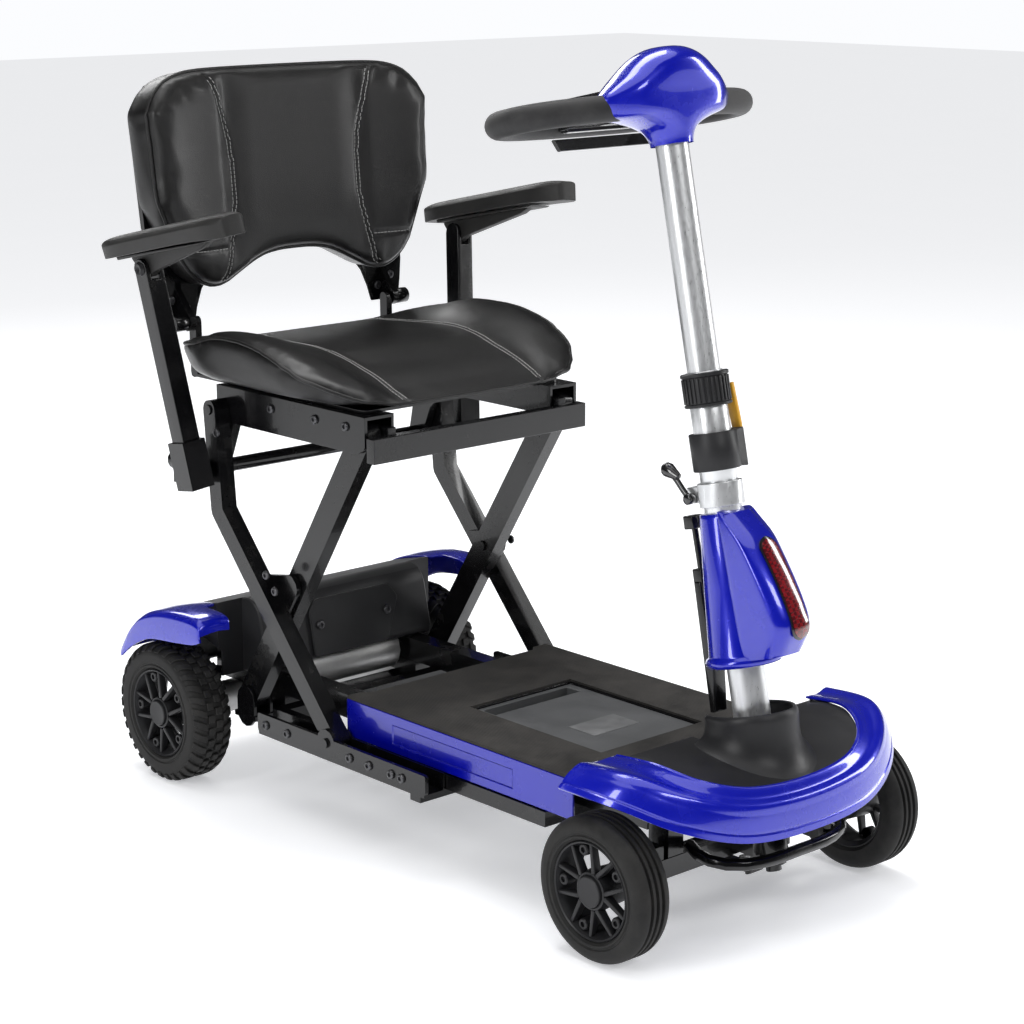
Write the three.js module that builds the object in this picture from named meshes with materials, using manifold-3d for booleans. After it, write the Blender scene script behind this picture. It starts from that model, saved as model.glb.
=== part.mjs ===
// Folding four-wheel mobility scooter with a scissor-lift seat and a folding tiller.
// Millimetres, +Z up, -Y forwards, x = 0 is the plane of symmetry, the ground is z = 0.
// The origin is the centre of the footprint.
import * as THREE from 'three';
import { mergeVertices } from 'three/addons/utils/BufferGeometryUtils.js';
import Module from 'manifold-3d';

const wasm = await Module();
wasm.setup();

// ---- driving dimensions -------------------------------------------------------------------
const GAP = 0.4; // between pieces that touch
const RUN = 0.6; // radial, between a pin and its hole
const SLIDE = 1.2; // between a sliding piece and its guide
const SIDES = 20; // facets of a turned piece

// wheels
const REAR_RADIUS = 90;
const REAR_WIDTH = 58;
const REAR_AXLE_Y = 405;
const REAR_OUTER = 235; // half track over the tyres
const FRONT_RADIUS = 81;
const FRONT_WIDTH = 48;
const FRONT_AXLE_Y = -379;
const FRONT_OUTER = 227;
const AXLE_R = 8;
const CAP_R = 17; // hub cap
const WHEEL_SIDES = 24;

// layers of the seat linkage, distances from the middle plane
const DECK_HALF = 162.5; // deck tray and slide rails
const INNER_ARM_IN = 143;
const INNER_ARM_OUT = 162;
const OUTER_ARM_IN = 169;
const OUTER_ARM_OUT = 191;
const CARRIAGE_OUT = 197;

// seat scissor: a symmetric X, seen from the side as [y, z]
const FOOT_Z = 117;
const CROSS_Y = 205;
const CROSS_Z = 283;
const FOOT_REACH = 101; // from the crossing pivot to each foot pivot, along Y
const SEAT_PIVOT_Z = 488;
const SEAT_REACH = 128; // from the crossing pivot to each seat pivot, along Y
const OUTER_DEPTH = 24;
const INNER_DEPTH = 34;
const PIN_R = 6;

// deck
const DECK_TOP = 165;
const DECK_BOTTOM = 118.6;
const DECK_FRONT = -288;
const DECK_REAR = 106;
const DECK_WALL = 3;
const MAT_THICK = 3.6;
const MAT_FRONT = -330;
const LID_HALF = 80;
const LID_FRONT = -247;
const LID_REAR = -27;

// chassis
const RAIL_IN = 95;
const RAIL_OUT = 120;
const RAIL_BOTTOM = 118;
const RAIL_TOP = 148;
const BEAM_BOTTOM = 100;
const TRACK_IN = 150;
const TRACK_OUT = 164.6;
const TRACK_FRONT = -246;
const TRACK_REAR = 252;

// tiller, along its own axis
const LEAN = THREE.MathUtils.degToRad(12.4);
const TILLER_Y = -405.2;
const TILLER_Z = 205;
const FOLD_PIN = [13, 3]; // behind and above the tiller's origin
const LOWER_R = 20.5;
const UPPER_R = 18;
const LOWER_TOP = 404;
const UPPER_TOP = 672;
const UPPER_BOTTOM = 250;
const STEER_ARM = 40; // steering arm and knuckle arm radius
const KINGPIN_X = 150;

// seat and back
const SEAT_HALF = 219;
const SEAT_FRONT = 48;
const SEAT_REAR = 398;
const SEAT_BOTTOM = 519.6;
const SEAT_TOP = 578;
const BACK_PIVOT = [410, 584];
const LUG_OUT = 158; // outer face of the backrest hinge lugs
const ARM_X = 218; // armrest post at the cross tube
const ARM_TUBE = 25;
const ARM_LEAN = THREE.MathUtils.degToRad(8.6);
const ARM_SPLAY = THREE.MathUtils.degToRad(6.5);
const ARM_Y = 330; // post at the cross tube
const ARM_BEAM = [358, 408];
const ARM_BEAM_R = 9;

// ---- materials ----------------------------------------------------------------------------
function finish(color, roughness, metalness) {
  return new THREE.MeshStandardMaterial({ color, roughness, metalness });
}

const BLACK_STEEL = finish(0x0d0d0f, 0.3, 0.3);
const BLACK_PLASTIC = finish(0x17171a, 0.55, 0);
const GLOSS_BLACK = finish(0x08080a, 0.2, 0);
const BLUE = finish(0x0a18a8, 0.15, 0.3);
const SILVER = finish(0xc4c6c8, 0.35, 0.9);
const TYRE = finish(0x1b1b1c, 0.85, 0);
const MAT = finish(0x2b2a2a, 0.9, 0);
const LID = finish(0x343638, 0.6, 0);
const LEATHER = finish(0x101012, 0.45, 0);
const LENS = finish(0x5a0410, 0.15, 0);
const YELLOW = finish(0xe0a020, 0.5, 0);
const GRIP = finish(0x2a2a2c, 0.75, 0);

// ---- shape helpers ------------------------------------------------------------------------
function merged(geometry) {
  const plain = geometry.clone();
  plain.deleteAttribute('normal');
  plain.deleteAttribute('uv');
  return mergeVertices(plain);
}

function toSolid(geometry) {
  const { position } = geometry.attributes;
  return new wasm.Manifold(new wasm.Mesh({
    numProp: 3,
    vertProperties: new Float32Array(position.array),
    triVerts: new Uint32Array(geometry.index.array),
  }));
}

function toGeometry(solid) {
  const mesh = solid.getMesh();
  const geometry = new THREE.BufferGeometry();
  geometry.setAttribute('position', new THREE.BufferAttribute(mesh.vertProperties, 3));
  geometry.setIndex(new THREE.BufferAttribute(mesh.triVerts, 1));
  return geometry;
}

function join(first, ...others) {
  return toGeometry(others.reduce((all, next) => all.add(toSolid(next)), toSolid(first)));
}

function cut(body, ...tools) {
  return toGeometry(tools.reduce((all, next) => all.subtract(toSolid(next)), toSolid(body)));
}

function mirrored(geometry) {
  const copy = geometry.clone().scale(-1, 1, 1);
  const index = copy.index.array;
  for (let i = 0; i < index.length; i += 3) [index[i], index[i + 1]] = [index[i + 1], index[i]];
  return copy;
}

function withMirror(geometry) {
  return join(geometry, mirrored(geometry));
}

function block(x0, x1, y0, y1, z0, z1) {
  const geometry = merged(new THREE.BoxGeometry(x1 - x0, y1 - y0, z1 - z0));
  return geometry.translate((x0 + x1) / 2, (y0 + y1) / 2, (z0 + z1) / 2);
}

function outline(points, radius = 0) {
  const shape = new THREE.Shape();
  const corners = points.map(([a, b]) => new THREE.Vector2(a, b));
  corners.forEach((corner, i) => {
    const before = corners[(i + corners.length - 1) % corners.length];
    const after = corners[(i + 1) % corners.length];
    const trim = Math.min(radius, corner.distanceTo(before) / 2.1, corner.distanceTo(after) / 2.1);
    const enter = corner.clone().add(before.clone().sub(corner).setLength(trim));
    const leave = corner.clone().add(after.clone().sub(corner).setLength(trim));
    if (i === 0) shape.moveTo(enter.x, enter.y);
    else shape.lineTo(enter.x, enter.y);
    if (trim > 0) shape.quadraticCurveTo(corner.x, corner.y, leave.x, leave.y);
  });
  shape.closePath();
  return shape;
}

function slab(shape, depth, bevel = 0) {
  const settings = { depth: depth - 2 * bevel, curveSegments: 2, bevelEnabled: bevel > 0 };
  Object.assign(settings, { bevelSize: bevel, bevelThickness: bevel, bevelOffset: -bevel, bevelSegments: 1 });
  return merged(new THREE.ExtrudeGeometry(shape, settings)).translate(0, 0, bevel);
}

// A side view [y, z] carried from x0 to x1.
function sideways(points, x0, x1, radius = 0, bevel = 0) {
  const geometry = slab(outline(points, radius), x1 - x0, bevel);
  const turn = new THREE.Matrix4().makeBasis(
    new THREE.Vector3(0, 1, 0), new THREE.Vector3(0, 0, 1), new THREE.Vector3(1, 0, 0));
  return geometry.applyMatrix4(turn).translate(x0, 0, 0);
}

// A plan view [x, y] carried from z0 to z1.
function upwards(points, z0, z1, radius = 0, bevel = 0) {
  return slab(outline(points, radius), z1 - z0, bevel).translate(0, 0, z0);
}

// A front view [x, z] carried from y0 to y1.
function forwards(points, y0, y1, radius = 0, bevel = 0) {
  const geometry = slab(outline(points, radius), y1 - y0, bevel);
  return geometry.rotateX(Math.PI / 2).translate(0, y1, 0);
}

function round(from, to, radius, sides = 12) {
  const start = new THREE.Vector3(...from);
  const end = new THREE.Vector3(...to);
  const geometry = merged(new THREE.CylinderGeometry(radius, radius, start.distanceTo(end), sides));
  const direction = end.clone().sub(start).normalize();
  const turn = new THREE.Quaternion().setFromUnitVectors(new THREE.Vector3(0, 1, 0), direction);
  return geometry.applyQuaternion(turn).translate(...start.add(end).multiplyScalar(0.5).toArray());
}

// A pin along X through a point [y, z].
function crossPin([y, z], x0, x1, radius) {
  return round([x0, y, z], [x1, y, z], radius);
}

// A flat bar with round ends, seen from the side, running through points [y, z].
function link(points, depth, x0, x1) {
  const pieces = points.map((p) => crossPin(p, x0, x1, depth / 2));
  for (let i = 0; i + 1 < points.length; i += 1) {
    const [a, b] = [new THREE.Vector2(...points[i]), new THREE.Vector2(...points[i + 1])];
    const side = b.clone().sub(a).rotateAround(new THREE.Vector2(), Math.PI / 2).setLength(depth / 2);
    const corners = [a.clone().sub(side), b.clone().sub(side), b.clone().add(side), a.clone().add(side)];
    pieces.push(sideways(corners.map((c) => [c.x, c.y]), x0, x1));
  }
  return join(...pieces);
}

function circle(radius, sides) {
  const shape = new THREE.Shape();
  for (let i = 0; i < sides; i += 1) {
    const angle = (i / sides) * 2 * Math.PI;
    const [x, y] = [radius * Math.cos(angle), radius * Math.sin(angle)];
    if (i === 0) shape.moveTo(x, y);
    else shape.lineTo(x, y);
  }
  shape.closePath();
  return shape;
}

function bentTube(points, radius, sides, steps, closed = false) {
  const path = new THREE.CatmullRomCurve3(points.map((p) => new THREE.Vector3(...p)), closed);
  const settings = { extrudePath: path, steps, bevelEnabled: false };
  return merged(new THREE.ExtrudeGeometry(circle(radius, sides), settings));
}

// A body turned about X: the profile is [distance along x, radius] and closes on itself or the axis.
function turned(profile, sides = SIDES) {
  const points = profile.map(([along, radius]) => new THREE.Vector2(radius, along));
  return merged(new THREE.LatheGeometry(points, sides)).rotateZ(-Math.PI / 2);
}

// A closed body between two sheets of points with the same grid.
function between(top, bottom) {
  const rows = top.length;
  const columns = top[0].length;
  const positions = [];
  [top, bottom].forEach((sheet) => sheet.flat().forEach((p) => positions.push(...p)));
  const index = [];
  const at = (sheet, i, j) => sheet * rows * columns + i * columns + j;
  const face = (a, b, c, d) => index.push(a, b, c, a, c, d);
  for (let i = 0; i + 1 < rows; i += 1) {
    for (let j = 0; j + 1 < columns; j += 1) {
      face(at(0, i, j), at(0, i + 1, j), at(0, i + 1, j + 1), at(0, i, j + 1));
      face(at(1, i, j), at(1, i, j + 1), at(1, i + 1, j + 1), at(1, i + 1, j));
    }
    face(at(0, i, 0), at(1, i, 0), at(1, i + 1, 0), at(0, i + 1, 0));
    face(at(0, i, columns - 1), at(0, i + 1, columns - 1), at(1, i + 1, columns - 1), at(1, i, columns - 1));
  }
  for (let j = 0; j + 1 < columns; j += 1) {
    face(at(0, 0, j), at(0, 0, j + 1), at(1, 0, j + 1), at(1, 0, j));
    face(at(0, rows - 1, j), at(1, rows - 1, j), at(1, rows - 1, j + 1), at(0, rows - 1, j + 1));
  }
  const geometry = new THREE.BufferGeometry();
  geometry.setAttribute('position', new THREE.BufferAttribute(new Float32Array(positions), 3));
  geometry.setIndex(index);
  const volume = signedVolume(geometry);
  if (volume < 0) {
    for (let i = 0; i < index.length; i += 3) [index[i], index[i + 1]] = [index[i + 1], index[i]];
    geometry.setIndex(index);
  }
  return geometry;
}

function signedVolume(geometry) {
  const { array } = geometry.attributes.position;
  const index = geometry.index.array;
  const corner = (i) => new THREE.Vector3().fromArray(array, index[i] * 3);
  let sum = 0;
  for (let i = 0; i < index.length; i += 3) sum += corner(i).dot(corner(i + 1).cross(corner(i + 2))) / 6;
  return sum;
}

function grid(rows, columns, point) {
  return Array.from({ length: rows }, (_, i) => Array.from({ length: columns }, (__, j) => (
    point(i / (rows - 1), j / (columns - 1)))));
}

const scooter = new THREE.Group();
const tiller = new THREE.Group();
tiller.position.set(0, TILLER_Y, TILLER_Z);
tiller.rotation.x = -LEAN;
scooter.add(tiller);

function add(name, geometry, material, parent = scooter) {
  const mesh = new THREE.Mesh(geometry, material);
  mesh.name = name;
  parent.add(mesh);
  return mesh;
}

// The same piece on the rider's left (+X) and right (-X).
function addPair(name, geometry, material) {
  add(`${name}_left`, geometry, material);
  add(`${name}_right`, mirrored(geometry), material);
}

// A point beside the tiller's own axis, in the scooter's frame.
function besideTiller(x, behind, along) {
  return [
    x,
    TILLER_Y + behind * Math.cos(LEAN) + along * Math.sin(LEAN),
    TILLER_Z - behind * Math.sin(LEAN) + along * Math.cos(LEAN),
  ];
}

// ---- pivots of the seat scissor -----------------------------------------------------------
const FRONT_FOOT = [CROSS_Y - FOOT_REACH, FOOT_Z];
const REAR_FOOT = [CROSS_Y + FOOT_REACH, FOOT_Z];
const CROSSING = [CROSS_Y, CROSS_Z];
const REAR_SEAT_PIVOT = [CROSS_Y + SEAT_REACH, SEAT_PIVOT_Z];
const FRONT_SEAT_PIVOT = [CROSS_Y - SEAT_REACH, SEAT_PIVOT_Z];

function bore(pivot) {
  return crossPin(pivot, INNER_ARM_IN - 20, CARRIAGE_OUT + 10, PIN_R + RUN);
}

// ---- chassis ------------------------------------------------------------------------------
function chassisFrame() {
  const rail = block(RAIL_IN, RAIL_OUT, -340, 333, RAIL_BOTTOM, RAIL_TOP);
  const track = block(TRACK_IN, TRACK_OUT, TRACK_FRONT, TRACK_REAR, BEAM_BOTTOM, RAIL_BOTTOM - GAP);
  const beams = [-246, 40, 232].map((y) => (
    block(-TRACK_IN - 2, TRACK_IN + 2, y, y + 20, BEAM_BOTTOM, RAIL_BOTTOM + 1)));
  const nose = block(-RAIL_OUT, RAIL_OUT, -360, -336, RAIL_BOTTOM, RAIL_TOP);
  return join(withMirror(rail), withMirror(track), ...beams, nose);
}

// Beam with a clevis for each kingpin and the tube that holds the steering shaft.
function frontAxleBeam() {
  const beam = block(-134, 134, FRONT_AXLE_Y - 13, FRONT_AXLE_Y + 13, 72, 94);
  const jaw = (z) => block(130, KINGPIN_X + 13, FRONT_AXLE_Y - 12, FRONT_AXLE_Y + 12, z, z + 6);
  const jaws = join(withMirror(jaw(104)), withMirror(jaw(52)));
  const cheeks = withMirror(block(126, 134, FRONT_AXLE_Y - 12, FRONT_AXLE_Y + 12, 52, 110));
  const posts = withMirror(block(RAIL_IN + 1, RAIL_OUT - 1, FRONT_AXLE_Y - 12, -361, 80, 140));
  const tube = round(besideTiller(0, 0, -128), besideTiller(0, 0, -54), 19, SIDES);
  const web = block(-30, 30, -432, FRONT_AXLE_Y, 84, 132);
  const body = join(beam, jaws, cheeks, posts, tube, web);
  const kingpins = [1, -1].map((s) => (
    round([s * KINGPIN_X, FRONT_AXLE_Y, 40], [s * KINGPIN_X, FRONT_AXLE_Y, 120], PIN_R + RUN)));
  const shaft = round(besideTiller(0, 0, -140), besideTiller(0, 0, -40), 9 + RUN);
  const room = round(besideTiller(0, 0, -200), besideTiller(0, 0, -128), 22);
  return cut(body, ...kingpins, shaft, room);
}

// Low cross plate with a slotless clevis for each inner arm's foot.
function rearBracket() {
  const [y, z] = REAR_FOOT;
  const plate = block(-167, 167, y - 20, y + 24, 92, 98.6);
  const ear = (x0, x1) => withMirror(link([[y, 100], [y, z]], 36, x0, x1));
  const ears = join(ear(138, INNER_ARM_IN - 1), ear(INNER_ARM_OUT + 1, 167));
  const legs = withMirror(block(RAIL_IN, RAIL_OUT, y - 20, y + 24, 98, RAIL_BOTTOM - GAP));
  const arms = withMirror(block(RAIL_IN + 2, RAIL_OUT - 2, 334, 436, 113, 140));
  const feet = withMirror(block(RAIL_IN + 2, RAIL_OUT - 2, 320, 345, 98, 117));
  const pins = withMirror(crossPin(REAR_FOOT, 140, 166, PIN_R));
  return join(plate, ears, legs, arms, feet, pins);
}

function deckTray() {
  const outer = block(-DECK_HALF, DECK_HALF, DECK_FRONT, DECK_REAR, DECK_BOTTOM, DECK_TOP);
  const inside = block(-DECK_HALF + DECK_WALL, DECK_HALF - DECK_WALL, DECK_FRONT - 5, DECK_REAR + 5,
    DECK_BOTTOM - 5, DECK_TOP - 4);
  const flute = withMirror(block(DECK_HALF - 1.2, DECK_HALF + 5, -190, 20, 130, 152));
  return cut(outer, inside, flute, batteryWell(2));
}

function batteryWell(room) {
  return block(-LID_HALF - room, LID_HALF + room, LID_FRONT - room, LID_REAR + room, 150, 190);
}

function deckMat() {
  const half = DECK_HALF;
  const plan = [
    [-half, MAT_FRONT], [half, MAT_FRONT], [half, DECK_REAR], [half - 22, DECK_REAR],
    [half - 30, DECK_REAR - 9], [-half + 30, DECK_REAR - 9], [-half + 22, DECK_REAR], [-half, DECK_REAR]];
  return cut(upwards(plan, DECK_TOP + GAP, DECK_TOP + MAT_THICK, 2), batteryWell(1.5));
}

// Flat lithium pack; its grey lid lies just below the mat and has a hand slot at the rear.
function batteryPack() {
  const pack = block(-LID_HALF, LID_HALF, LID_FRONT, LID_REAR, RAIL_BOTTOM + 2, 163);
  const slot = block(-LID_HALF + 12, LID_HALF - 12, LID_REAR - 30, LID_REAR - 8, 140, 170);
  return cut(pack, slot);
}

add('chassis_frame', chassisFrame(), BLACK_STEEL);
add('front_axle_beam', frontAxleBeam(), BLACK_STEEL);
add('rear_bracket', rearBracket(), BLACK_STEEL);
add('deck_tray', deckTray(), BLUE);
add('deck_mat', deckMat(), MAT);
add('battery_pack', batteryPack(), LID);

// ---- front cover --------------------------------------------------------------------------
// The blue band runs round the front from fender tip to fender tip. Across it lie three curves:
// the edge of the black panel, the crest of the band, and its lower edge.
const SHELL = 3;
const PANEL_EDGE = [[0, -474, 180], [75, -467, 184], [124, -442, 196], [148, -400, 207], [150, -345, 203]];
const BAND_CREST = [[0, -489, 160], [92, -481, 166], [156, -452, 184], [194, -405, 203], [200, -335, 201]];
const BAND_EDGE = [[0, -494.6, 125], [95, -486, 130], [168, -457, 152], [214, -408, 176], [229, -335, 183]];
const PANEL_REAR = PANEL_EDGE[PANEL_EDGE.length - 1][1];

function halfCurve(points) {
  const left = points.map((p) => new THREE.Vector3(...p));
  const right = left.slice(1).reverse().map((p) => new THREE.Vector3(-p.x, p.y, p.z));
  return new THREE.CatmullRomCurve3([...right, ...left]);
}

const panelEdge = halfCurve(PANEL_EDGE);
const bandCrest = halfCurve(BAND_CREST);
const bandEdge = halfCurve(BAND_EDGE);

function bandPoint(along, across) {
  const stations = [panelEdge, bandCrest, bandEdge].map((curve) => curve.getPoint(along));
  return new THREE.CatmullRomCurve3(stations).getPoint(across);
}

function frontCover() {
  const step = 1e-3;
  const outer = (u, v) => bandPoint(u, v).toArray();
  const inner = (u, v) => {
    const here = bandPoint(u, v);
    const a = bandPoint(Math.min(u + step, 1), v).sub(bandPoint(Math.max(u - step, 0), v));
    const b = bandPoint(u, Math.min(v + step, 1)).sub(bandPoint(u, Math.max(v - step, 0)));
    return here.add(a.cross(b).setLength(SHELL)).toArray();
  };
  return between(grid(23, 5, outer), grid(23, 5, inner));
}

function panelTop(u, v) {
  const half = panelEdge.getPoint(0.5 + Math.abs(u - 0.5));
  const x = Math.sign(u - 0.5) * half.x * 0.985;
  const back = [x, PANEL_REAR, 201 + 2 * Math.abs(u - 0.5)];
  const front = [x, half.y + 3, half.z - 1];
  const crown = 7 * Math.sin(Math.PI * v) * (1 - (2 * u - 1) ** 2);
  const mix = (k) => front[k] + (back[k] - front[k]) * v;
  return [mix(0), mix(1), mix(2) + crown];
}

function frontPanel() {
  const rows = (drop) => grid(15, 6, (u, v) => {
    const [x, y, z] = panelTop(0.06 + 0.88 * u, v);
    return [x, y, z - drop];
  });
  const plate = between(rows(0), rows(SHELL));
  const well = upwards([[-44, -446], [44, -446], [44, -330], [-44, -330]], 150, 260, 24);
  const skirt = block(-132, 132, PANEL_REAR - 3, PANEL_REAR, 171, 200);
  return cut(join(plate, skirt), well, block(-44, 44, -360, -330, 150, 260));
}

// Collar round the foot of the tiller, open behind so that the tiller can fold back.
function tillerBoot() {
  const ring = (radius, rise) => (u, v) => {
    const angle = (u - 0.5) * 1.36 * Math.PI - Math.PI / 2;
    const flare = radius + 16 * (1 - v) ** 3;
    const front = -Math.sin(angle);
    const y = -402 + flare * 1.12 * Math.sin(angle) + 6 * v;
    const foot = 206 - 5 * front;
    return [flare * Math.cos(angle), y, foot + v * (rise + 9 * front)];
  };
  return between(grid(17, 4, ring(49, 32)), grid(17, 4, ring(45.5, 32)));
}

function frontBumper() {
  const half = [[92, -396, 104], [100, -425, 99], [88, -456, 97], [52, -470, 96], [0, -472, 96]];
  const path = [...half, ...half.slice(0, -1).reverse().map(([x, y, z]) => [-x, y, z])];
  return bentTube(path, 7, 8, 16);
}

add('front_cover', frontCover(), BLUE);
add('front_panel', frontPanel(), BLACK_PLASTIC);
add('tiller_boot', tillerBoot(), BLACK_PLASTIC);
add('front_bumper', frontBumper(), BLACK_STEEL);

// ---- drive unit between the rear wheels ---------------------------------------------------
const COVER_HALF = 136;
const COVER_WING = 174;
const COVER_SIDE = [[299, 146], [316, 226], [336, 239], [430, 216], [472, 178], [484, 118]];
const WING_FRONT = 352;

function hollowed(points, x0, x1, wall) {
  const middle = points.reduce(([a, b], [y, z]) => [a + y / points.length, b + z / points.length], [0, 0]);
  const shrink = ([y, z]) => [
    y + wall * Math.sign(middle[0] - y), z + wall * Math.sign(middle[1] - z)];
  return sideways(points.map(shrink), x0 + wall, x1 - wall, 12);
}

function driveCover() {
  const body = sideways(COVER_SIDE, -COVER_HALF, COVER_HALF, 14, 2);
  const wings = cut(sideways(COVER_SIDE, -COVER_WING, COVER_WING, 14, 2),
    block(-200, 200, 280, WING_FRONT, 80, 260),
    withMirror(crossPin([REAR_AXLE_Y, REAR_RADIUS], 168, 240, REAR_RADIUS + 9)));
  const inside = hollowed(COVER_SIDE, -COVER_HALF, COVER_HALF, 3);
  const wingInside = cut(hollowed(COVER_SIDE, -COVER_WING, COVER_WING, 3),
    block(-200, 200, 280, WING_FRONT + 3, 80, 260));
  const floor = block(-COVER_HALF + 3, COVER_HALF - 3, 303, 473, 80, 160);
  return cut(join(body, wings), inside, wingInside, floor);
}

// Raised access plate on the cover's sloping front.
function driveCoverPlate() {
  const [[y0, z0], [y1, z1]] = COVER_SIDE;
  const slope = Math.atan2(z1 - z0, y1 - y0);
  const plan = [[-62, 6], [58, 6], [84, 62], [70, 80], [-50, 80], [-62, 66]];
  const plate = upwards(plan, 0, 4, 5, 1);
  plate.rotateX(slope);
  return plate.translate(0, y0 - Math.sin(slope) * 0.5, z0 + Math.cos(slope) * 0.5);
}

const FENDER_SIDE = [[294, 206], [300, 233], [352, 236], [424, 220], [456, 194], [476, 160], [470, 152],
  [446, 172], [405, 190], [350, 196]];

function fender() {
  const outer = sideways(FENDER_SIDE, COVER_WING + GAP, 242, 3, 1);
  const corner = block(150, OUTER_ARM_OUT + 3, 280, WING_FRONT, 100, 260);
  const under = crossPin([REAR_AXLE_Y, REAR_RADIUS], 150, 260, REAR_RADIUS + 6);
  const inside = [[303, 190], [304, 228], [352, 232], [422, 216], [452, 192], [468, 160], [430, 140]];
  const hollow = sideways(inside, 150, 238, 6);
  return cut(outer, corner, under, hollow);
}

// Gearmotor in front of the axle, gearbox and axle housing with its stub axles.
function driveMotor() {
  const housing = crossPin([REAR_AXLE_Y, REAR_RADIUS], -168, 168, 21);
  const axle = crossPin([REAR_AXLE_Y, REAR_RADIUS], -REAR_OUTER + 9, REAR_OUTER - 9, AXLE_R);
  const gearbox = link([[332, 131], [REAR_AXLE_Y, REAR_RADIUS]], 50, -24, 14);
  const motor = crossPin([334, 131], -86, 86, 28);
  return join(housing, axle, gearbox, motor);
}

const ACTUATOR_Z = 82;

function foldActuator() {
  const tube = round([0, 100, ACTUATOR_Z], [0, 284, ACTUATOR_Z], 12);
  const hole = round([0, 90, ACTUATOR_Z], [0, 276, ACTUATOR_Z], 5 + RUN);
  const gear = block(10, 46, 262, 284, 68, 92);
  return cut(join(tube, gear), hole);
}

add('drive_cover', driveCover(), BLACK_PLASTIC);
add('drive_cover_plate', driveCoverPlate(), BLACK_PLASTIC);
addPair('fender', fender(), BLUE);
add('drive_motor', driveMotor(), SILVER);
add('fold_actuator', foldActuator(), BLACK_STEEL);

// ---- wheels -------------------------------------------------------------------------------
// Each wheel is made about its own centre with its outer face towards +X.
function tyreProfile(radius, width, rim) {
  const half = width / 2;
  return [
    [-half + 4, rim], [-half, rim + 8], [-half, radius - 14], [-half + 11, radius],
    [half - 11, radius], [half, radius - 14], [half, rim + 8], [half - 4, rim], [-half + 4, rim]];
}

function wheelRim(width, rim) {
  const half = width / 2;
  const barrel = turned([
    [-half + 6, rim - GAP], [half - 5, rim - GAP], [half - 5, rim - 7],
    [-half + 8, rim - 7], [-half + 6, rim - GAP]], WHEEL_SIDES);
  const hub = turned([[-half + 4, 0], [-half + 4, 20], [half - 10, 23], [half - 2, CAP_R], [half, CAP_R - 2],
    [half, 0], [-half + 4, 0]], 10);
  const spokes = [];
  for (let i = 0; i < 5; i += 1) {
    [-1, 1].forEach((side) => {
      const spoke = block(half - 14, half - 6, -3, 3, 18, rim - 4);
      const angle = ((i + 0.25) * 2 * Math.PI) / 5;
      spokes.push(spoke.rotateX(side * 0.12).translate(0, side * 8, 0).rotateX(angle));
    });
  }
  const hole = round([-width, 0, 0], [half - 8, 0, 0], AXLE_R + RUN);
  return cut(join(barrel, hub, ...spokes), hole);
}

function addWheel(name, { radius, width, rim, outer, y }, side) {
  const group = new THREE.Group();
  group.position.set(side * (outer - width / 2), y, radius);
  const tyre = turned(tyreProfile(radius, width, rim), WHEEL_SIDES);
  const wheel = wheelRim(width, rim);
  const facing = side > 0 ? (g) => g : mirrored;
  add(`${name}_tyre`, facing(tyre), TYRE, group);
  add(`${name}_rim`, facing(wheel), BLACK_PLASTIC, group);
  scooter.add(group);
}

const FRONT_WHEEL = {
  radius: FRONT_RADIUS, width: FRONT_WIDTH, rim: 56, outer: FRONT_OUTER, y: FRONT_AXLE_Y };
const REAR_WHEEL = {
  radius: REAR_RADIUS, width: REAR_WIDTH, rim: 58, outer: REAR_OUTER, y: REAR_AXLE_Y };
addWheel('front_left', FRONT_WHEEL, 1);
addWheel('front_right', FRONT_WHEEL, -1);
addWheel('rear_left', REAR_WHEEL, 1);
addWheel('rear_right', REAR_WHEEL, -1);

// ---- seat scissor -------------------------------------------------------------------------
// Side channels that run along the chassis tracks and carry the outer arms' feet.
function carriage() {
  const [y, z] = FRONT_FOOT;
  const side = [[-80, 101], [-74, 96], [234, 96], [240, 101], [240, 123], [-80, 123]];
  const outerWall = sideways(side, OUTER_ARM_OUT + 1, CARRIAGE_OUT, 3);
  const ear = crossPin(FRONT_FOOT, OUTER_ARM_OUT + 1, CARRIAGE_OUT, 17);
  const innerWall = block(TRACK_OUT + SLIDE, OUTER_ARM_IN - 0.8, -78, 238, 96, 120);
  const innerEar = crossPin([y, z - 2], TRACK_OUT + SLIDE, OUTER_ARM_IN - 0.8, 14);
  const floor = block(TRACK_OUT + SLIDE, CARRIAGE_OUT, -78, 238, 96, 99.4);
  const pin = crossPin(FRONT_FOOT, TRACK_OUT + SLIDE, CARRIAGE_OUT + 3, PIN_R);
  const tie = block(-CARRIAGE_OUT + 1, CARRIAGE_OUT - 1, -70, -52, 88, 97);
  const lug = block(-9, 9, -70, -52, ACTUATOR_Z - 9, 90);
  const half = join(outerWall, ear, innerWall, innerEar, floor, pin);
  return join(withMirror(half), tie, lug);
}

function actuatorRod() {
  return round([0, -52 + GAP, ACTUATOR_Z], [0, 268, ACTUATOR_Z], 5);
}

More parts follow.
